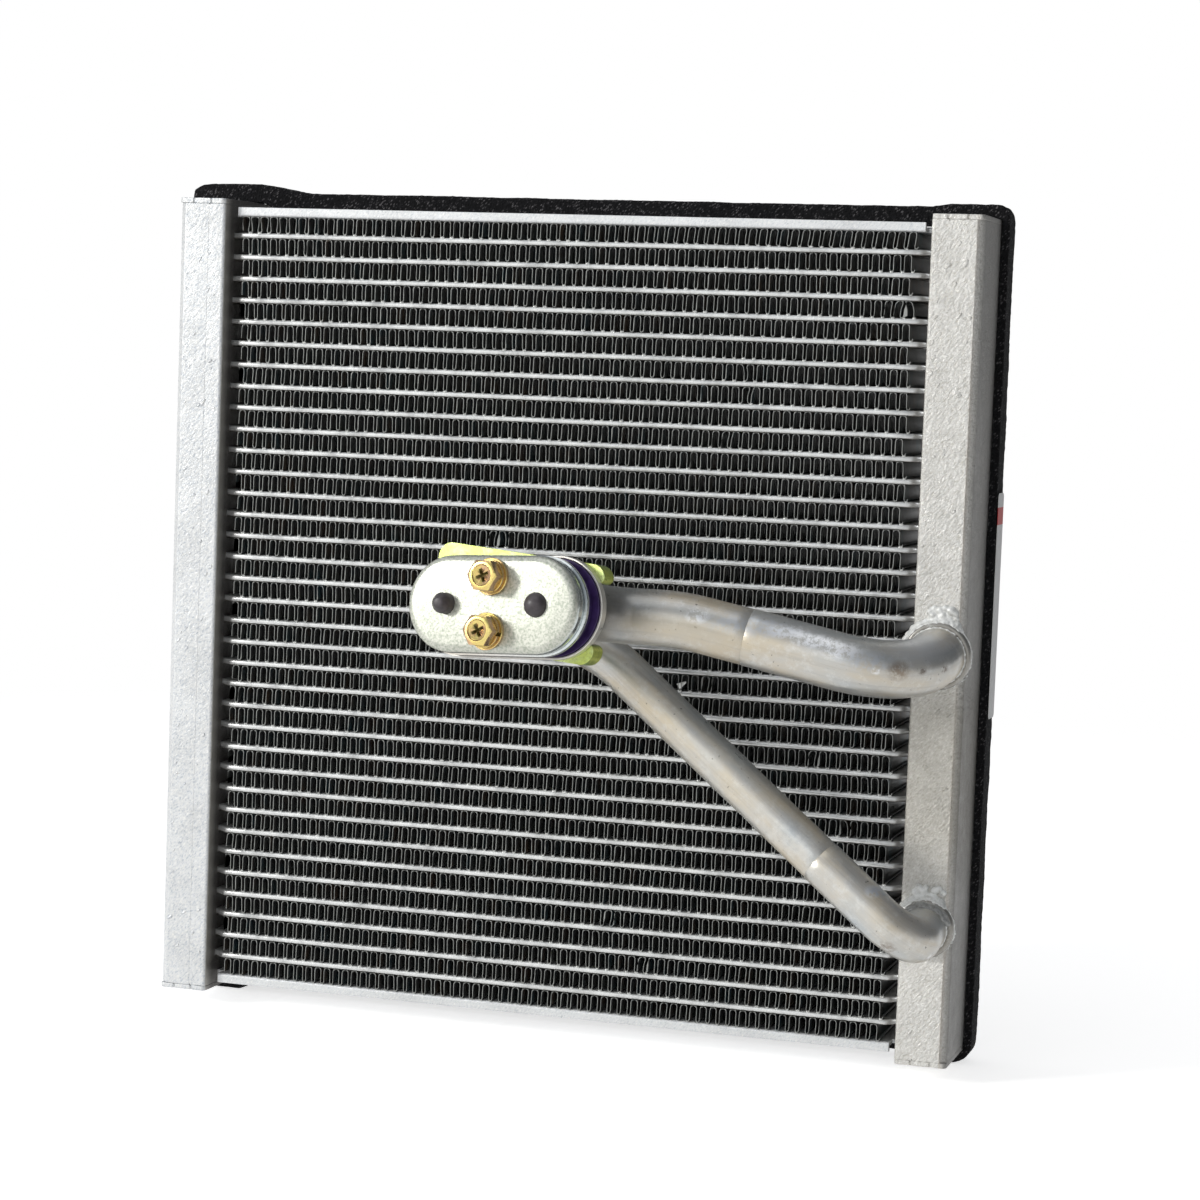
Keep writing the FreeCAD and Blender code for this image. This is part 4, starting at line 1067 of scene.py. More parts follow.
class Sweep:
    """A round pipe drawn along runs and bends, with a record of where each ring lies along it."""

    def __init__(self, start, ahead, radius, ring):
        self.bm = bmesh.new()
        self.along = 0.0
        self.space = self.bm.verts.layers.float_vector.new("pipe_space")
        made = bmesh.ops.create_circle(self.bm, radius=radius, segments=ring)
        for vert in made["verts"]:
            vert[self.space] = vert.co * MM
        turn = ahead.to_track_quat("Z", "Y").to_matrix().to_4x4()
        bmesh.ops.transform(self.bm, matrix=Matrix.Translation(start) @ turn, verts=made["verts"])
        self.centre = start.copy()
        self.verts = made["verts"]
        self.lines = list(self.bm.edges)
        self.cap()

    def cap(self):
        """Close the end with a face."""
        bmesh.ops.contextual_create(self.bm, geom=self.lines)

    def advance(self, made, travel):
        """Take the new ring as the pipe's end, and note how far along it lies."""
        self.verts = [item for item in made if isinstance(item, bmesh.types.BMVert)]
        self.lines = [item for item in made if isinstance(item, bmesh.types.BMEdge)]
        self.along += travel
        for vert in self.verts:
            spot = vert[self.space]
            vert[self.space] = (spot[0], spot[1], self.along * MM)

    def run(self, vector, steps):
        """Go straight on."""
        for _ in range(steps):
            made = bmesh.ops.extrude_edge_only(self.bm, edges=self.lines)
            bmesh.ops.translate(self.bm, vec=vector / steps, verts=vertices(made))
            self.centre += vector / steps
            self.advance(made["geom"], vector.length / steps)

    def bend(self, pivot, axis, angle, radius, steps):
        """Go round a bend."""
        for _ in range(steps):
            made = bmesh.ops.spin(self.bm, geom=self.verts + self.lines, cent=pivot, axis=axis,
                                  angle=angle / steps, steps=1)
            turn = Matrix.Rotation(angle / steps, 3, axis)
            self.centre = pivot + turn @ (self.centre - pivot)
            self.advance(made["geom_last"], radius * abs(angle) / steps)

    def swell(self, amount, travel, ahead):
        """Step out or in to another radius over a short length."""
        made = bmesh.ops.extrude_edge_only(self.bm, edges=self.lines)
        verts = vertices(made)
        bmesh.ops.translate(self.bm, vec=ahead * travel, verts=verts)
        self.centre += ahead * travel
        for vert in verts:
            vert.co += (vert.co - self.centre).normalized() * amount
        self.advance(made["geom"], travel)


def draw_pipe(points, radii, radius, ring, start_lip=0.0, end_lip=0.0):
    """A closed pipe along straight runs joined by tangent bends, its free ends rounded by a lip."""
    ahead = (points[1] - points[0]).normalized()
    sweep = Sweep(points[0], ahead, radius - start_lip, ring)
    if start_lip:
        sweep.swell(start_lip, LIP_RUN, ahead)
    here = sweep.centre.copy()
    for before, corner, after, bend_radius in zip(points, points[1:], points[2:], radii):
        back = (before - corner).normalized()
        onward = (after - corner).normalized()
        turn = math.pi - back.angle(onward)
        reach = bend_radius * math.tan(turn / 2)
        bend_start = corner + back * reach
        run = bend_start - here
        sweep.run(run, max(1, round(run.length / RUN_STEP)))
        axis = (-back).cross(onward).normalized()
        pivot = corner + (back + onward).normalized() * (bend_radius / math.cos(turn / 2))
        sweep.bend(pivot, axis, turn, bend_radius, max(4, round(turn * bend_radius / BEND_STEP)))
        here = corner + onward * reach
    ahead = (points[-1] - here).normalized()
    last = points[-1] - here - (ahead * LIP_RUN if end_lip else Vector())
    sweep.run(last, max(1, round(last.length / RUN_STEP)))
    if end_lip:
        sweep.swell(-end_lip, LIP_RUN, ahead)
    sweep.cap()
    return sweep.bm


def dimple(bm, centre, size, depth):
    """Press a soft dent into a pipe, towards its own inside."""
    bm.normal_update()
    for vert in bm.verts:
        share = 1 - (vert.co - Vector(centre)).length / size
        if share > 0:
            vert.co -= vert.normal * depth * share * share * (3 - 2 * share)


def finish_pipe(node, bm, material, seed):
    """Let a drawn surface wander slightly in and out, never out past its size, and make it a piece."""
    bm.normal_update()
    moves = [(vert, vert.normal * WAVER * (ripple(vert.co, 0.11, seed) - 0.6)) for vert in bm.verts]
    for vert, move in moves:
        vert.co += move
    finish_piece(node + "_tube", bm, material, [node], smooth=50)


def out_front(x, out, z):
    """A point at a distance in front of the core's face."""
    return Vector((x, CORE_FRONT - out, z))


def port_end(side, depth):
    """A point on the axis of one port, at a depth behind the cap's face."""
    roll = Matrix.Rotation(math.radians(PORT_ROLL), 4, "Y")
    return CAP_FRAME @ (roll @ Vector((side * PORT_HALF, 0, 0)) + INWARD * depth)


def stub(height):
    """The first two points of a pipe, straight out of its collar."""
    seat = Vector((HEADER_MIDDLE, HEADER_FRONT - 1.5, height))
    return [seat, seat - INWARD * 5.0]


# Clouds and marks on the pipes: centre, size, colour, share; some clouds are painted shade and painted
# reflections.
SUCTION_CLOUDS_AND_PAINTED_LIGHT = [
    # Painted shade on the pipe just behind the flange, where the cap and flange shadow it.
    ((32, -76, 132), (16, 20, 16), (0.15, 0.145, 0.135), 0.8),
    # Painted warm reflection from the floor below on this stretch of pipe.
    ((58, -72, 127.5), (28, 20, 6.5), (0.62, 0.54, 0.40), 0.55),
    ((82, -67, 130), (26, 12, 5), (0.42, 0.46, 0.50), 0.45),
    # Painted pale reflection on the elbow's top.
    ((112, -50, 126), (11, 18, 6.5), (0.70, 0.73, 0.77), 0.75),
]
SUCTION_MARKS = [
    ((79, -67, 128.3), (7, 6, 2.4), (0.92, 0.93, 0.95), 0.8),
    ((87, -67, 126.2), (8, 6, 2.2), (0.93, 0.94, 0.96), 0.9),
    ((94, -67, 124.2), (7, 6, 2.6), (0.92, 0.93, 0.95), 0.85),
    ((54, -69, 131.4), (4, 6, 2.6), (0.88, 0.89, 0.89), 0.8),
    ((112, -57, 127.5), (6, 7, 2.4), (0.90, 0.91, 0.92), 0.8),
    ((70, -68, 129.8), (18, 6, 4.0), (0.52, 0.56, 0.62), 0.5),
    ((102, -66, 121.5), (12, 6, 3.6), (0.56, 0.60, 0.66), 0.5),
    ((109, -62.5, 119.2), (4, 4, 3.2), (0.26, 0.19, 0.13), 0.7),
    ((114.4, -57.4, 119.1), (1.6, 2.5, 1.2), (0.14, 0.11, 0.09), 0.85),
    ((119, -50, 119.3), (1.5, 2.5, 1.4), (0.16, 0.12, 0.10), 0.8),
    ((103.5, -65.7, 119.1), (1.5, 2, 1.2), (0.93, 0.93, 0.93), 0.9),
]
LIQUID_CLOUDS_AND_PAINTED_LIGHT = [
    # Painted pale reflection on the elbow's top.
    ((112, -46, 48.5), (10, 16, 5.5), (0.68, 0.71, 0.74), 0.65),
    ((60, -66, 96), (40, 20, 30), (0.62, 0.58, 0.48), 0.35),
]
LIQUID_MARKS = [
    ((118.5, -49.5, 39.4), (2.2, 4, 1.8), (0.93, 0.94, 0.95), 0.8),
    ((104.1, -59.5, 58.3), (2.6, 4, 2.2), (0.92, 0.92, 0.90), 0.75),
    ((108.5, -60, 43.1), (3.4, 4, 3.0), (0.24, 0.19, 0.15), 0.65),
    ((105.4, -58.0, 58.2), (5.5, 5, 1.8), (0.42, 0.47, 0.56), 0.6),
    ((80, -60, 70), (12, 9, 9), (0.80, 0.78, 0.72), 0.25),
]


class EVAPORATOR_OT_pipes(bpy.types.Operator):
    """Draw the two refrigerant pipes and their elbows"""

    bl_idname = "evaporator.pipes"
    bl_label = "Pipes"

    def execute(self, context):
        sizes = context.scene.evaporator_sizes
        colour = context.scene.evaporator_colours.pipe
        suction = pipe_finish(colour, "Suction pipe aluminium", SUCTION_MARKS, SUCTION_CLOUDS_AND_PAINTED_LIGHT)
        liquid = pipe_finish(dimmed(colour, 1.05), "Liquid pipe aluminium", LIQUID_MARKS, LIQUID_CLOUDS_AND_PAINTED_LIGHT)
        step = sizes.joint_step / MM
        groove = sizes.joint_groove / MM
        ring = sizes.pipe_ring

        near = out_front(82.0, 33.5, SUCTION_HEIGHT + 1.5)
        far = out_front(48.0, 35.0, SUCTION_HEIGHT + 8.3)
        joint = near.lerp(far, 0.45)
        corner = out_front(HEADER_MIDDLE - 1.3, 33.2, SUCTION_HEIGHT - 4.8)
        elbow = draw_pipe(stub(SUCTION_HEIGHT) + [corner, near, joint], [20, 22, 90], SUCTION_RADIUS, ring,
                          end_lip=groove)
        dimple(elbow, (104, -68, 113), 7, 0.22)
        finish_pipe("suction_elbow", elbow, suction, 21)
        run = draw_pipe([joint, far, port_end(1, 36.0), port_end(1, PIPE_END)], [60, 15],
                        SUCTION_RADIUS - step, ring, start_lip=groove)
        finish_pipe("suction_pipe", run, suction, 22)

        corner = out_front(HEADER_MIDDLE + 1.8, 31.0, LIQUID_HEIGHT - 1.6)
        far = out_front(23.2, 18.0, LIQUID_HEIGHT + 71.1)
        joint = corner.lerp(far, 0.30)
        elbow = draw_pipe(stub(LIQUID_HEIGHT) + [corner, joint], [20, 11], LIQUID_RADIUS, ring,
                          end_lip=groove)
        dimple(elbow, (107, -64, 47), 4, 0.25)
        finish_pipe("liquid_elbow", elbow, liquid, 23)
        run = draw_pipe([joint, far, port_end(-1, 48.7), port_end(-1, PIPE_END)], [40, 15],
                        LIQUID_RADIUS - step, ring, start_lip=groove)
        finish_pipe("liquid_pipe", run, liquid, 24)
        return {"FINISHED"}


# Braze

MELT_PASSES = 6


def melted(name, blobs, material, cell, seed):
    """Run a cluster of (centre, radius) drops together into one lumpy bead piece."""
    bm = bmesh.new()
    for centre, radius in blobs:
        made = bmesh.ops.create_icosphere(bm, subdivisions=3, radius=radius)
        bmesh.ops.translate(bm, vec=centre, verts=made["verts"])
    for vert in bm.verts:
        vert.co += Vector((ripple(vert.co, 0.9, seed), ripple(vert.co, 0.9, seed + 1),
                           ripple(vert.co, 0.9, seed + 2))) * 0.22
    piece = finish_piece(name, bm, material, weld=False)
    renew_surface(piece, cell * MM, material)
    bm = bmesh.new()
    bm.from_mesh(piece.data)
    for _ in range(MELT_PASSES):
        bmesh.ops.smooth_vert(bm, verts=bm.verts, factor=0.5, use_axis_x=True, use_axis_y=True,
                              use_axis_z=True)
    bm.to_mesh(piece.data)
    bm.free()


def bead_path(height, radius, start, end, count, rng, size, proud=0.3, wander=1.0):
    """Drops along part of a ring round a port, on the right header's front face."""
    drops = []
    for index in range(count):
        angle = math.radians(start + (end - start) * index / max(1, count - 1))
        angle += rng.uniform(-0.05, 0.05)
        reach = radius + wander * rng.uniform(-0.2, 0.3)
        spot = (HEADER_MIDDLE + reach * math.cos(angle), HEADER_FRONT - proud - rng.uniform(-0.12, 0.12),
                height + reach * math.sin(angle))
        drops.append((spot, size * rng.uniform(0.8, 1.2)))
    return drops


# Lumps of braze above each collar: place across, height, radius
SUCTION_LUMPS = [(110.9, 133.3, 1.15), (112.2, 134.2, 1.05), (113.7, 133.7, 1.35), (115.3, 134.3, 1.15),
                 (116.9, 133.7, 1.45), (118.0, 133.0, 1.15), (111.8, 132.2, 1.35), (114.7, 132.2, 1.45),
                 (118.3, 131.6, 0.9), (116.4, 131.9, 1.15), (113.0, 131.6, 1.2)]
LIQUID_LUMPS = [(110.3, 54.3, 1.05), (111.4, 55.5, 1.15), (112.7, 54.6, 1.15), (113.5, 55.8, 0.8),
                (115.9, 55.0, 1.05), (117.1, 55.5, 1.0), (118.3, 54.5, 1.05), (114.6, 53.6, 0.9)]


class EVAPORATOR_OT_collars(bpy.types.Operator):
    """Turn the two collars and lay the braze round them"""

    bl_idname = "evaporator.collars"
    bl_label = "Collars and braze"

    def execute(self, context):
        # The collars take the pipe colour painted darker, as the shade on their front and sides.
        finish = pipe_finish(dimmed(context.scene.evaporator_colours.pipe, 0.55), "Collar aluminium")
        braze = braze_finish()
        # Braze painted dark, as the shade on the liquid collar's neck.
        crust = braze_finish("Braze in painted shade", 0.45)
        rng = random.Random(77)
        for name, outer, pipe, height, lumps in (
                ("suction", SUCTION_COLLAR, SUCTION_RADIUS, SUCTION_HEIGHT, SUCTION_LUMPS),
                ("liquid", LIQUID_COLLAR, LIQUID_RADIUS, LIQUID_HEIGHT, LIQUID_LUMPS)):
            middle = outer - COLLAR_EDGE
            profile = [(pipe - 0.6, -0.05), (pipe - 0.6, -2.6), (pipe + 0.1, -2.95), (middle, -3.0)]
            profile += quarter_round(middle, COLLAR_EDGE - 3.0, COLLAR_EDGE, 4)
            profile += [(outer, -0.05), (pipe - 0.6, -0.05)]
            bm = spun(profile, 72)
            bmesh.ops.translate(bm, vec=(HEADER_MIDDLE, HEADER_FRONT, height), verts=bm.verts)
            for vert in bm.verts:
                vert.co.y += 0.06 * ripple(vert.co, 0.35, 31)
            finish_piece(name + "_collar_ring", bm, finish, [name + "_collar"], smooth=40)
            below = bead_path(height, outer - 0.05, 185, 352, 30, rng, 0.36, proud=0.1)
            melted(name + "_braze_ring", below, braze, 0.18, 5)
            cone = bead_path(height, outer + 0.4, 60, 156, 26, rng, 1.15, proud=0.2, wander=0.5)
            cone += bead_path(height, outer - 0.1, 52, 162, 30, rng, 0.95, proud=1.1, wander=0.5)
            cone += bead_path(height, outer - 0.45, 46, 164, 30, rng, 0.75, proud=2.0, wander=0.5)
            cone += bead_path(height, outer - 0.05, -20, 60, 34, rng, 0.36, proud=0.6, wander=0.3)
            cone += [((across, HEADER_FRONT - 0.3, up), size) for across, up, size in lumps]
            melted(name + "_braze_bead", cone, braze, 0.22, 9)
            neck = bead_path(height, pipe + 0.05, 0, 357, 130, rng, 0.36, proud=3.05, wander=0.25)
            melted(name + "_neck_fillet", neck, braze, 0.16, 13)
        # Drops round the liquid pipe's neck, their braze painted dark as the collar's shaded neck.
        neck = bead_path(LIQUID_HEIGHT, LIQUID_RADIUS + 0.5, 15, 165, 34, rng, 0.8, proud=2.9)
        neck += bead_path(LIQUID_HEIGHT, LIQUID_RADIUS + 0.3, 25, 155, 30, rng, 0.7, proud=3.8)
        neck += bead_path(LIQUID_HEIGHT, LIQUID_RADIUS + 0.1, 35, 145, 22, rng, 0.5, proud=4.6)
        melted("liquid_neck_shade", neck, crust, 0.2, 17)
        return {"FINISHED"}


# Valve flange, clamp plate, cap and fasteners

def stadium_shell(profile, run, steps=28):
    """Carry an (r, y) profile round a stadium: two half turns joined by straight sides."""
    bm = bmesh.new()
    points = [bm.verts.new((run + r, y, 0)) for r, y in profile]
    lines = [bm.edges.new(pair) for pair in zip(points, points[1:])]
    bmesh.ops.rotate(bm, cent=(run, 0, 0), matrix=Matrix.Rotation(math.pi / 2, 3, "Y"), verts=points)
    geometry = points + lines
    for centre, move in ((Vector((run, 0, 0)), -2 * run), (Vector((-run, 0, 0)), 2 * run)):
        made = bmesh.ops.spin(bm, geom=geometry, cent=centre, axis=INWARD, angle=-math.pi, steps=steps)
        lines = [item for item in made["geom_last"] if isinstance(item, bmesh.types.BMEdge)]
        made = bmesh.ops.extrude_edge_only(bm, edges=lines)
        bmesh.ops.translate(bm, vec=ACROSS * move, verts=vertices(made))
        geometry = vertices(made) + edges(made)
    bmesh.ops.remove_doubles(bm, verts=bm.verts, dist=WELD)
    return bm


def close_at(bm, depth):
    """Close the open loop that lies at one depth."""
    loop = [edge for edge in bm.edges
            if edge.is_boundary and all(abs(vert.co.y - depth) < 0.01 for vert in edge.verts)]
    bmesh.ops.contextual_create(bm, geom=loop)


def cut_away(piece, cutter_bm):
    """Take one closed shape away from a finished piece, and keep the result as its mesh."""
    bmesh.ops.scale(cutter_bm, vec=(MM, MM, MM), verts=cutter_bm.verts)
    mesh = bpy.data.meshes.new("cutter")
    cutter_bm.to_mesh(mesh)
    cutter_bm.free()
    cutter = bpy.data.objects.new("cutter", mesh)
    bpy.context.scene.collection.objects.link(cutter)
    cut = piece.modifiers.new("Cut", "BOOLEAN")
    cut.operation = "DIFFERENCE"
    cut.solver = "EXACT"
    cut.object = cutter
    graph = bpy.context.evaluated_depsgraph_get()
    result = bpy.data.meshes.new_from_object(piece.evaluated_get(graph))
    piece.modifiers.remove(cut)
    old = piece.data
    piece.data = result
    bpy.data.meshes.remove(old)
    bpy.data.objects.remove(cutter)
    bpy.data.meshes.remove(mesh)


class EVAPORATOR_OT_flange(bpy.types.Operator):
    """Shape the valve flange, its seal and the clamp plate"""

    bl_idname = "evaporator.flange"
    bl_label = "Valve flange and clamp plate"

    def execute(self, context):
        colours = context.scene.evaporator_colours
        seal = rubber_finish("Seal rubber", colours.seal, 0.38)
        metal = pipe_finish(dimmed(colours.pipe, 1.2), "Flange aluminium")
        # The last, dark green tint falls on the plate's ends seen edge-on: painted shade.
        tints = [(0.74, 0.84, 0.50), (0.62, 0.74, 0.20), (0.58, 0.62, 0.10), (0.22, 0.34, 0.10)]
        plate = plated_finish("Clamp plate plating", colours.clamp, tints, 0.34, 0.65)
        plate.node_tree.nodes["Principled BSDF"].inputs["Metallic"].default_value = 0.6
        for node, finish, slot, width in (("valve_flange", metal, "pipe_aluminium", 0.25),
                                          ("flange_seal", seal, "seal_rubber", 0.3),
                                          ("clamp_plate", plate, "clamp_zinc", 0.3)):
            bm = welded_copy(node)
            soften(bm, width, segments=3, angle=38)
            finish_piece(node + "_piece", bm, finish, [node], smooth=40, even=True)
        return {"FINISHED"}


class EVAPORATOR_OT_cap(bpy.types.Operator):
    """Draw the shipping cap and push in its two plugs"""

    bl_idname = "evaporator.cap"
    bl_label = "Shipping cap"

    def execute(self, context):
        colours = context.scene.evaporator_colours
        r = CAP_RADIUS
        profile = [(r - 2.3, 0.0)] + quarter_round(r - 2.2, 2.2, 2.2, 6)
        profile += [(r, 4.55), (r - 0.13, 4.75), (r - 0.13, 4.95), (r + 0.08, 5.15), (r + 0.36, 5.35)]
        profile += [(r + 0.4, 5.6), (r + 0.4, 6.75), (r + 0.3, 6.95), (r - 0.3, 6.95), (r - 0.8, 6.6)]
        profile += [(r - 0.9, 2.3), (r - 1.4, 1.4), (r - 2.3, 0.9)]
        bm = stadium_shell(profile, CAP_RUN)
        close_at(bm, 0.0)
        close_at(bm, 0.9)
        set_in_cap_frame(bm, PORT_ROLL)
        finish = cap_finish(colours.cap, colours.cap_side)
        cap = finish_piece("cap_shell", bm, finish, ["shipping_cap"], smooth=50)
        holes = bmesh.new()
        for side, radius in ((-1, LEFT_PLUG_RADIUS), (1, RIGHT_PLUG_RADIUS)):
            hole = spun([(0, -2), (radius + 0.1, -2), (radius + 0.1, 2.0), (0, 2.0)], 48)
            set_in_cap_frame(hole, PORT_ROLL, offset=(side * PORT_HALF, 0, 0))
            join(holes, hole)
        cut_away(cap, holes)
        cap.data.set_sharp_from_angle(angle=math.radians(40))
        rubber = rubber_finish("Plug rubber", colours.plug, 0.42)
        left, right = LEFT_PLUG_RADIUS, RIGHT_PLUG_RADIUS
        cone = [(0, -4.4), (0.95, -4.38), (1.4, -4.25), (1.65, -4.0), (left - 0.3, -2.9)]
        cone += [(left - 0.05, -2.4), (left, -2.0), (left, 0.85), (left + 1.2, 0.95), (left + 1.2, 2.0),
                 (0, 2.0)]
        dome = [(right * math.sin(a), -2.6 * math.cos(a))
                for a in (math.radians(10 * step) for step in range(10))]
        dome += [(right, 0.85), (right + 1.2, 0.95), (right + 1.2, 2.0), (0, 2.0)]
        for side, name, profile in ((-1, "plug_left", cone), (1, "plug_right", dome)):
            bm = spun(profile, 48)
            set_in_cap_frame(bm, PORT_ROLL, offset=(side * PORT_HALF, 0, 0))
            finish_piece(name + "_rubber", bm, rubber, [name], smooth=45)
        return {"FINISHED"}


def cross_cutter(turn, top):
    """Cutter for a screw face: a shallow dish and a tapered cross recess."""
    dish = spun([(0, top - 1), (2.95, top - 1), (2.95, top + 0.05), (2.55, top + 0.45), (0, top + 0.45)],
                40)
    shapes = [dish]
    for quarter in (0, 90):
        arm = bmesh.new()
        made = bmesh.ops.create_cube(arm, size=1.0)
        for vert in made["verts"]:
            deep = vert.co.y > 0
            vert.co = Vector((vert.co.x * (2.4 if deep else 4.1), top + (1.9 if deep else 0.1),
                              vert.co.z * (0.6 if deep else 1.0)))
        bmesh.ops.rotate(arm, cent=(0, 0, 0), matrix=Matrix.Rotation(math.radians(turn + quarter), 3, "Y"),
                         verts=arm.verts)
        shapes.append(arm)
    return shapes


class EVAPORATOR_OT_fasteners(bpy.types.Operator):
    """Make the two screws with their spring and flat washers"""

    bl_idname = "evaporator.fasteners"
    bl_label = "Screws and washers"

    def execute(self, context):
        colour = context.scene.evaporator_colours.screw
        # The last, dark brown tints fall on the heads' sides seen edge-on: painted shade.
        tints = [(0.80, 0.68, 0.26), (0.76, 0.58, 0.20), (0.60, 0.34, 0.25), (0.30, 0.18, 0.15),
                 (0.20, 0.17, 0.08)]
        plating = plated_finish("Screw plating", colour, tints, 0.24, 0.75, speckle=0.2)
        bm = welded_copy("screws")
        soften(bm, 0.14, segments=2, angle=25)
        screws = finish_piece("screw_heads", bm, plating, ["screws"], smooth=35)
        for side, turn in ((1, -23), (-1, -28)):
            for shape in cross_cutter(turn, SCREW_TOP):
                set_in_cap_frame(shape, SCREW_ROLL, offset=(0, 0, side * SCREW_HALF))
                bmesh.ops.recalc_face_normals(shape, faces=shape.faces)
                cut_away(screws, shape)
        screws.data.set_sharp_from_angle(angle=math.radians(35))
        # The cross recess gets the plating painted dark, as the shade inside it.
        recess = plated_finish("Screw recess shade", dimmed(colour, 0.25),
                               [dimmed(colour, 0.14), dimmed(colour, 0.4)], 0.4, 0.6)
        screws.data.materials.append(recess)
        to_cap = (CAP_FRAME @ Matrix.Rotation(math.radians(SCREW_ROLL), 4, "Y")).inverted()
        for face in screws.data.polygons:
            spot = to_cap @ (face.center / MM)
            from_axis = math.hypot(spot.x, abs(spot.z) - SCREW_HALF)
            if spot.y > SCREW_TOP + RECESS_DEPTH and from_axis < RECESS_RADIUS:
                face.material_index = 1
        for name, node, profile, gap in (
                ("flat_washer_rings", "flat_washers",
                 [(2.6, -0.15), (2.75, -0.05), (4.95, -0.05), (5.1, -0.2), (5.1, -1.0), (4.95, -1.15),
                  (2.75, -1.15), (2.6, -1.0), (2.6, -0.15)], 0),
                ("spring_washer_rings", "spring_washers",
                 [(2.6, -1.35), (2.7, -1.25), (4.5, -1.25), (4.6, -1.35), (4.6, -2.3), (4.5, -2.4),
                  (2.7, -2.4), (2.6, -2.3), (2.6, -1.35)], 14)):
            rings = bmesh.new()
            for side, turn in ((1, 140), (-1, 15)):
                ring = spun(profile, 60, angle=math.tau - math.radians(gap))
                if gap:
                    rim = [edge for edge in ring.edges if edge.is_boundary]
                    bmesh.ops.holes_fill(ring, edges=rim, sides=0)
                set_in_cap_frame(ring, SCREW_ROLL, offset=(0, 0, side * SCREW_HALF), turn=turn)
                join(rings, ring)
            finish_piece(name, rings, plating, [node], smooth=35)
        return {"FINISHED"}


# Stage

def white_for_the_camera(tree, seen, lit):
    """Use one shader for what the camera and mirror-like surfaces see, and another for other rays."""
    path = add(tree, "ShaderNodeLightPath").outputs
    mirrored = figure(tree, "MAXIMUM", path["Is Glossy Ray"], path["Is Transmission Ray"])
    return blend_shaders(tree, figure(tree, "MAXIMUM", path["Is Camera Ray"], mirrored), lit, seen)


def lay_floor():
    """A wide pale floor that keeps a soft shadow."""
    bm = bmesh.new()
    bmesh.ops.create_grid(bm, x_segments=1, y_segments=1, size=8.0)
    mesh = bpy.data.meshes.new("floor")
    bm.to_mesh(mesh)
    bm.free()
    floor = bpy.data.objects.new("floor", mesh)
    bpy.context.scene.collection.objects.link(floor)
    material, tree, shader = new_finish("Floor white", (0.80, 0.80, 0.80), 0.0, 0.9)
    glow = add(tree, "ShaderNodeEmission", Color=(1, 1, 1, 1), Strength=0.70)
    both = add(tree, "ShaderNodeAddShader")
    tree.links.new(shader.outputs["BSDF"], both.inputs[0])
    tree.links.new(glow.outputs["Emission"], both.inputs[1])
    away = add(tree, "ShaderNodeVectorMath", operation="LENGTH")
    tree.links.new(place_pattern(tree), away.inputs[0])
    far = add(tree, "ShaderNodeEmission", Color=(1, 1, 1, 1), Strength=1.0)
    seen = blend_shaders(tree, spread(tree, away.outputs["Value"], 0.30, 0.85, 0.0, 1.0),
                         both.outputs["Shader"], far.outputs["Emission"])
    tree.links.new(white_for_the_camera(tree, seen, shader.outputs["BSDF"]),
                   tree.nodes["Material Output"].inputs["Surface"])
    mesh.materials.append(material)


def hang_sky(strength):
    """Bright to the left and warm below, darker to the right and cool above; white for the camera."""
    world = bpy.data.worlds.new("Studio")
    bpy.context.scene.world = world
    world.use_nodes = True
    tree = world.node_tree
    tree.nodes.clear()
    where = add(tree, "ShaderNodeTexCoord").outputs["Generated"]
    height = spread(tree, parts(tree, where)[2], -1.0, 1.0, 0.0, 1.0)
    tint = ramp(tree, height, (0.40, (1.0, 0.95, 0.87)), (0.52, (1.0, 1.0, 0.98)),
                (0.68, (0.66, 0.69, 0.74)), (0.90, (0.50, 0.53, 0.58)))
    toward = add(tree, "ShaderNodeVectorMath", operation="DOT_PRODUCT")
    toward.inputs[1].default_value = (-0.8, -0.6, 0.0)
    tree.links.new(where, toward.inputs[0])
    side = spread(tree, toward.outputs["Value"], -1.0, 1.0, 0.0, 1.0)
    level = ramp(tree, side, (0.05, 0.12), (0.22, 0.34), (0.34, 0.18), (0.55, 0.70), (0.80, 1.0))
    lit = add(tree, "ShaderNodeBackground", Strength=strength)
    tree.links.new(ramp(tree, side, (0.10, (0.30, 0.32, 0.35)), (0.45, (0.62, 0.63, 0.65)),
                        (0.80, (1.0, 1.0, 0.99))), lit.inputs["Color"])
    glossy = add(tree, "ShaderNodeBackground", Strength=1.0)
    tree.links.new(mix(tree, 1.0, level, tint, "MULTIPLY"), glossy.inputs["Color"])
    white = add(tree, "ShaderNodeBackground", Color=(1, 1, 1, 1), Strength=1.0)
    path = add(tree, "ShaderNodeLightPath").outputs
    mirrored = figure(tree, "MAXIMUM", path["Is Glossy Ray"], path["Is Transmission Ray"])
    around = blend_shaders(tree, mirrored, lit.outputs["Background"], glossy.outputs["Background"])
    whole = blend_shaders(tree, path["Is Camera Ray"], around, white.outputs["Background"])
    tree.links.new(whole, add(tree, "ShaderNodeOutputWorld").inputs["Surface"])


def hang_lamp(name, spot, target, power, width, height, colour=(1, 1, 1)):
    """A rectangular lamp that points at a target."""
    data = bpy.data.lights.new(name, "AREA")
    data.shape = "RECTANGLE"
    data.size = width
    data.size_y = height
    data.energy = power
    data.color = colour
    lamp = bpy.data.objects.new(name, data)
    lamp.location = spot
    lamp.rotation_mode = "QUATERNION"
    lamp.rotation_quaternion = (Vector(target) - Vector(spot)).to_track_quat("-Z", "Y")
    bpy.context.scene.collection.objects.link(lamp)


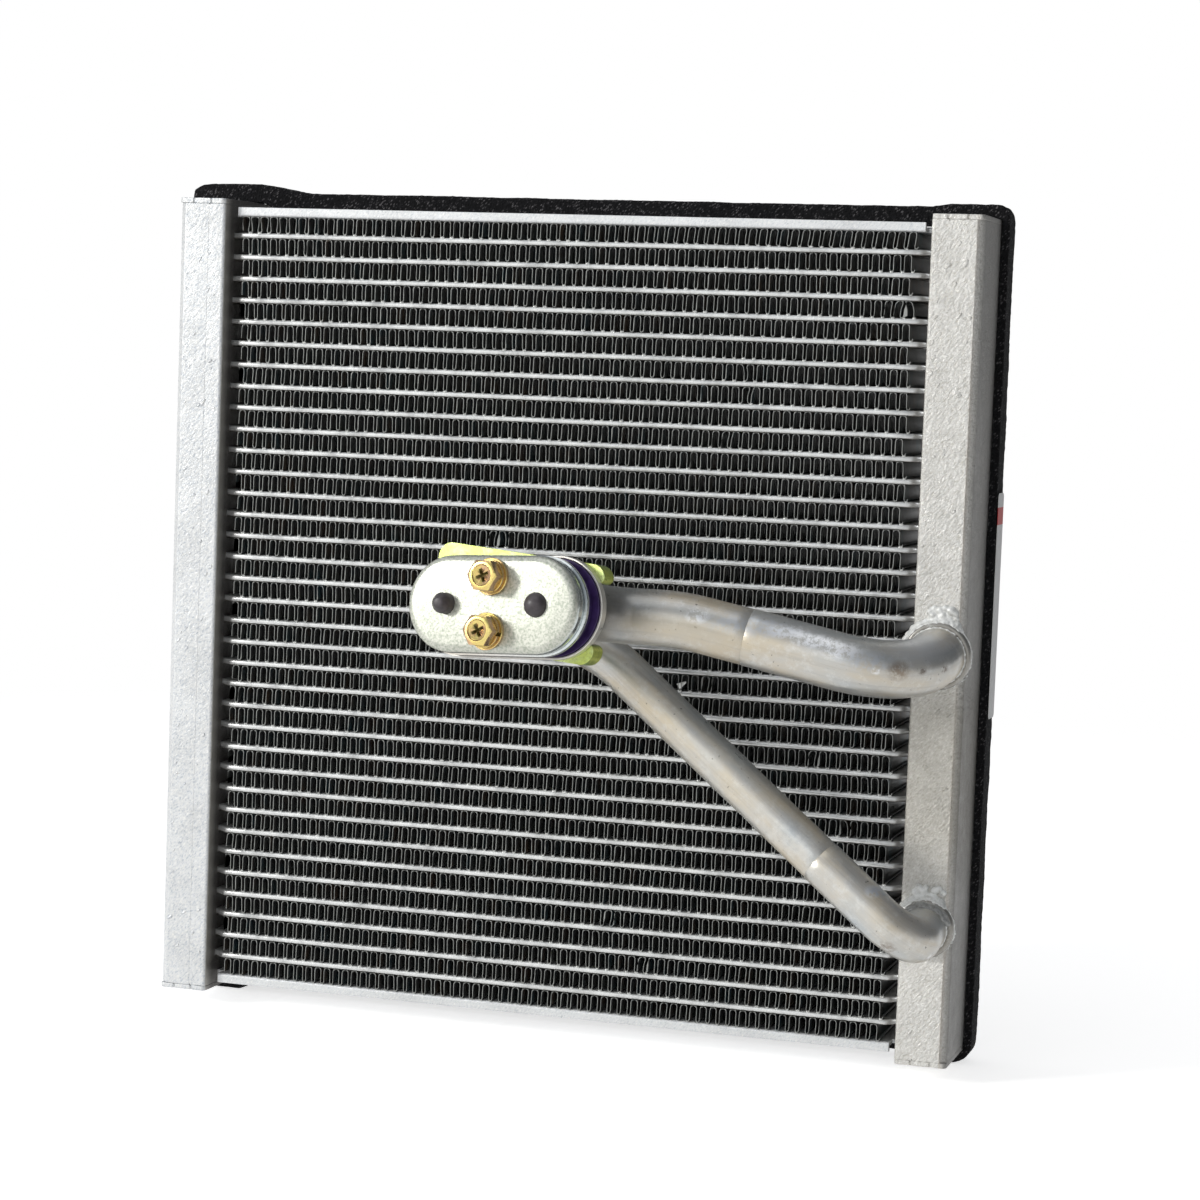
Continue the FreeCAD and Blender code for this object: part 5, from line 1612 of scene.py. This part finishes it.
def aim_camera(lens):
    """The camera at the photograph's viewpoint."""
    right = Vector((0.95459095, 0.29562443, 0.03690965))
    down = Vector((0.05862948, -0.06494411, -0.99616507))
    ahead = Vector((-0.29209367, 0.95309415, -0.07932737))
    turn = Matrix((right, -down, -ahead)).transposed().to_4x4()
    data = bpy.data.cameras.new("Camera")
    data.lens = lens
    data.sensor_width = 36.0
    data.clip_start = 0.01
    data.clip_end = 100.0
    camera = bpy.data.objects.new("Camera", data)
    camera.matrix_world = Matrix.Translation((0.26718, -0.85537, 0.19940)) @ turn
    bpy.context.scene.collection.objects.link(camera)
    bpy.context.scene.camera = camera


class EVAPORATOR_OT_stage(bpy.types.Operator):
    """Set the floor, the surroundings, the lamps and the camera"""

    bl_idname = "evaporator.stage"
    bl_label = "Stage"

    def execute(self, context):
        stage = context.scene.evaporator_stage
        lay_floor()
        hang_sky(stage.sky)
        middle = (0.0, -0.02, 0.13)
        hang_lamp("Key lamp", (-1.25, -1.05, 0.62), middle, stage.key_power, 0.30, 0.30, (1.0, 0.985, 0.95))
        hang_lamp("Front lamp", (-0.2, -1.8, 0.6), middle, stage.fill_power, 1.2, 0.8)
        hang_lamp("Top lamp", (-0.4, -0.5, 1.9), middle, stage.fill_power * 2, 1.2, 1.2)
        aim_camera(stage.lens)
        bpy.context.scene.view_settings.view_transform = "Standard"
        return {"FINISHED"}


class EVAPORATOR_PT_panel(bpy.types.Panel):
    """Lists the steps that build the evaporator core"""

    bl_idname = "EVAPORATOR_PT_panel"
    bl_label = "Evaporator core"
    bl_space_type = "VIEW_3D"
    bl_region_type = "UI"
    bl_category = "Evaporator"

    def draw(self, context):
        for group in (context.scene.evaporator_sizes, context.scene.evaporator_colours,
                      context.scene.evaporator_stage):
            for name in group.__annotations__:
                self.layout.prop(group, name)
        for step in STEPS:
            self.layout.operator(step.bl_idname)


STEPS = (EVAPORATOR_OT_fins, EVAPORATOR_OT_tubes, EVAPORATOR_OT_headers, EVAPORATOR_OT_side_plates,
         EVAPORATOR_OT_foam, EVAPORATOR_OT_label, EVAPORATOR_OT_pipes, EVAPORATOR_OT_collars,
         EVAPORATOR_OT_flange, EVAPORATOR_OT_cap, EVAPORATOR_OT_fasteners, EVAPORATOR_OT_stage)
GROUPS = (EvaporatorSizes, EvaporatorColours, EvaporatorStage)


def register():
    """Add the settings, the steps and the panel to Blender."""
    for item in (*GROUPS, *STEPS, EVAPORATOR_PT_panel):
        bpy.utils.register_class(item)
    bpy.types.Scene.evaporator_sizes = PointerProperty(type=EvaporatorSizes)
    bpy.types.Scene.evaporator_colours = PointerProperty(type=EvaporatorColours)
    bpy.types.Scene.evaporator_stage = PointerProperty(type=EvaporatorStage)


def unregister():
    """Take them away again."""
    del bpy.types.Scene.evaporator_stage
    del bpy.types.Scene.evaporator_colours
    del bpy.types.Scene.evaporator_sizes
    for item in (EVAPORATOR_PT_panel, *reversed(STEPS), *reversed(GROUPS)):
        bpy.utils.unregister_class(item)


def main():
    """Build every piece and the stage in order."""
    register()
    bpy.ops.evaporator.fins()
    bpy.ops.evaporator.tubes()
    bpy.ops.evaporator.headers()
    bpy.ops.evaporator.side_plates()
    bpy.ops.evaporator.foam()
    bpy.ops.evaporator.label()
    bpy.ops.evaporator.pipes()
    bpy.ops.evaporator.collars()
    bpy.ops.evaporator.flange()
    bpy.ops.evaporator.cap()
    bpy.ops.evaporator.fasteners()
    bpy.ops.evaporator.stage()


if __name__ == "__main__":
    main()
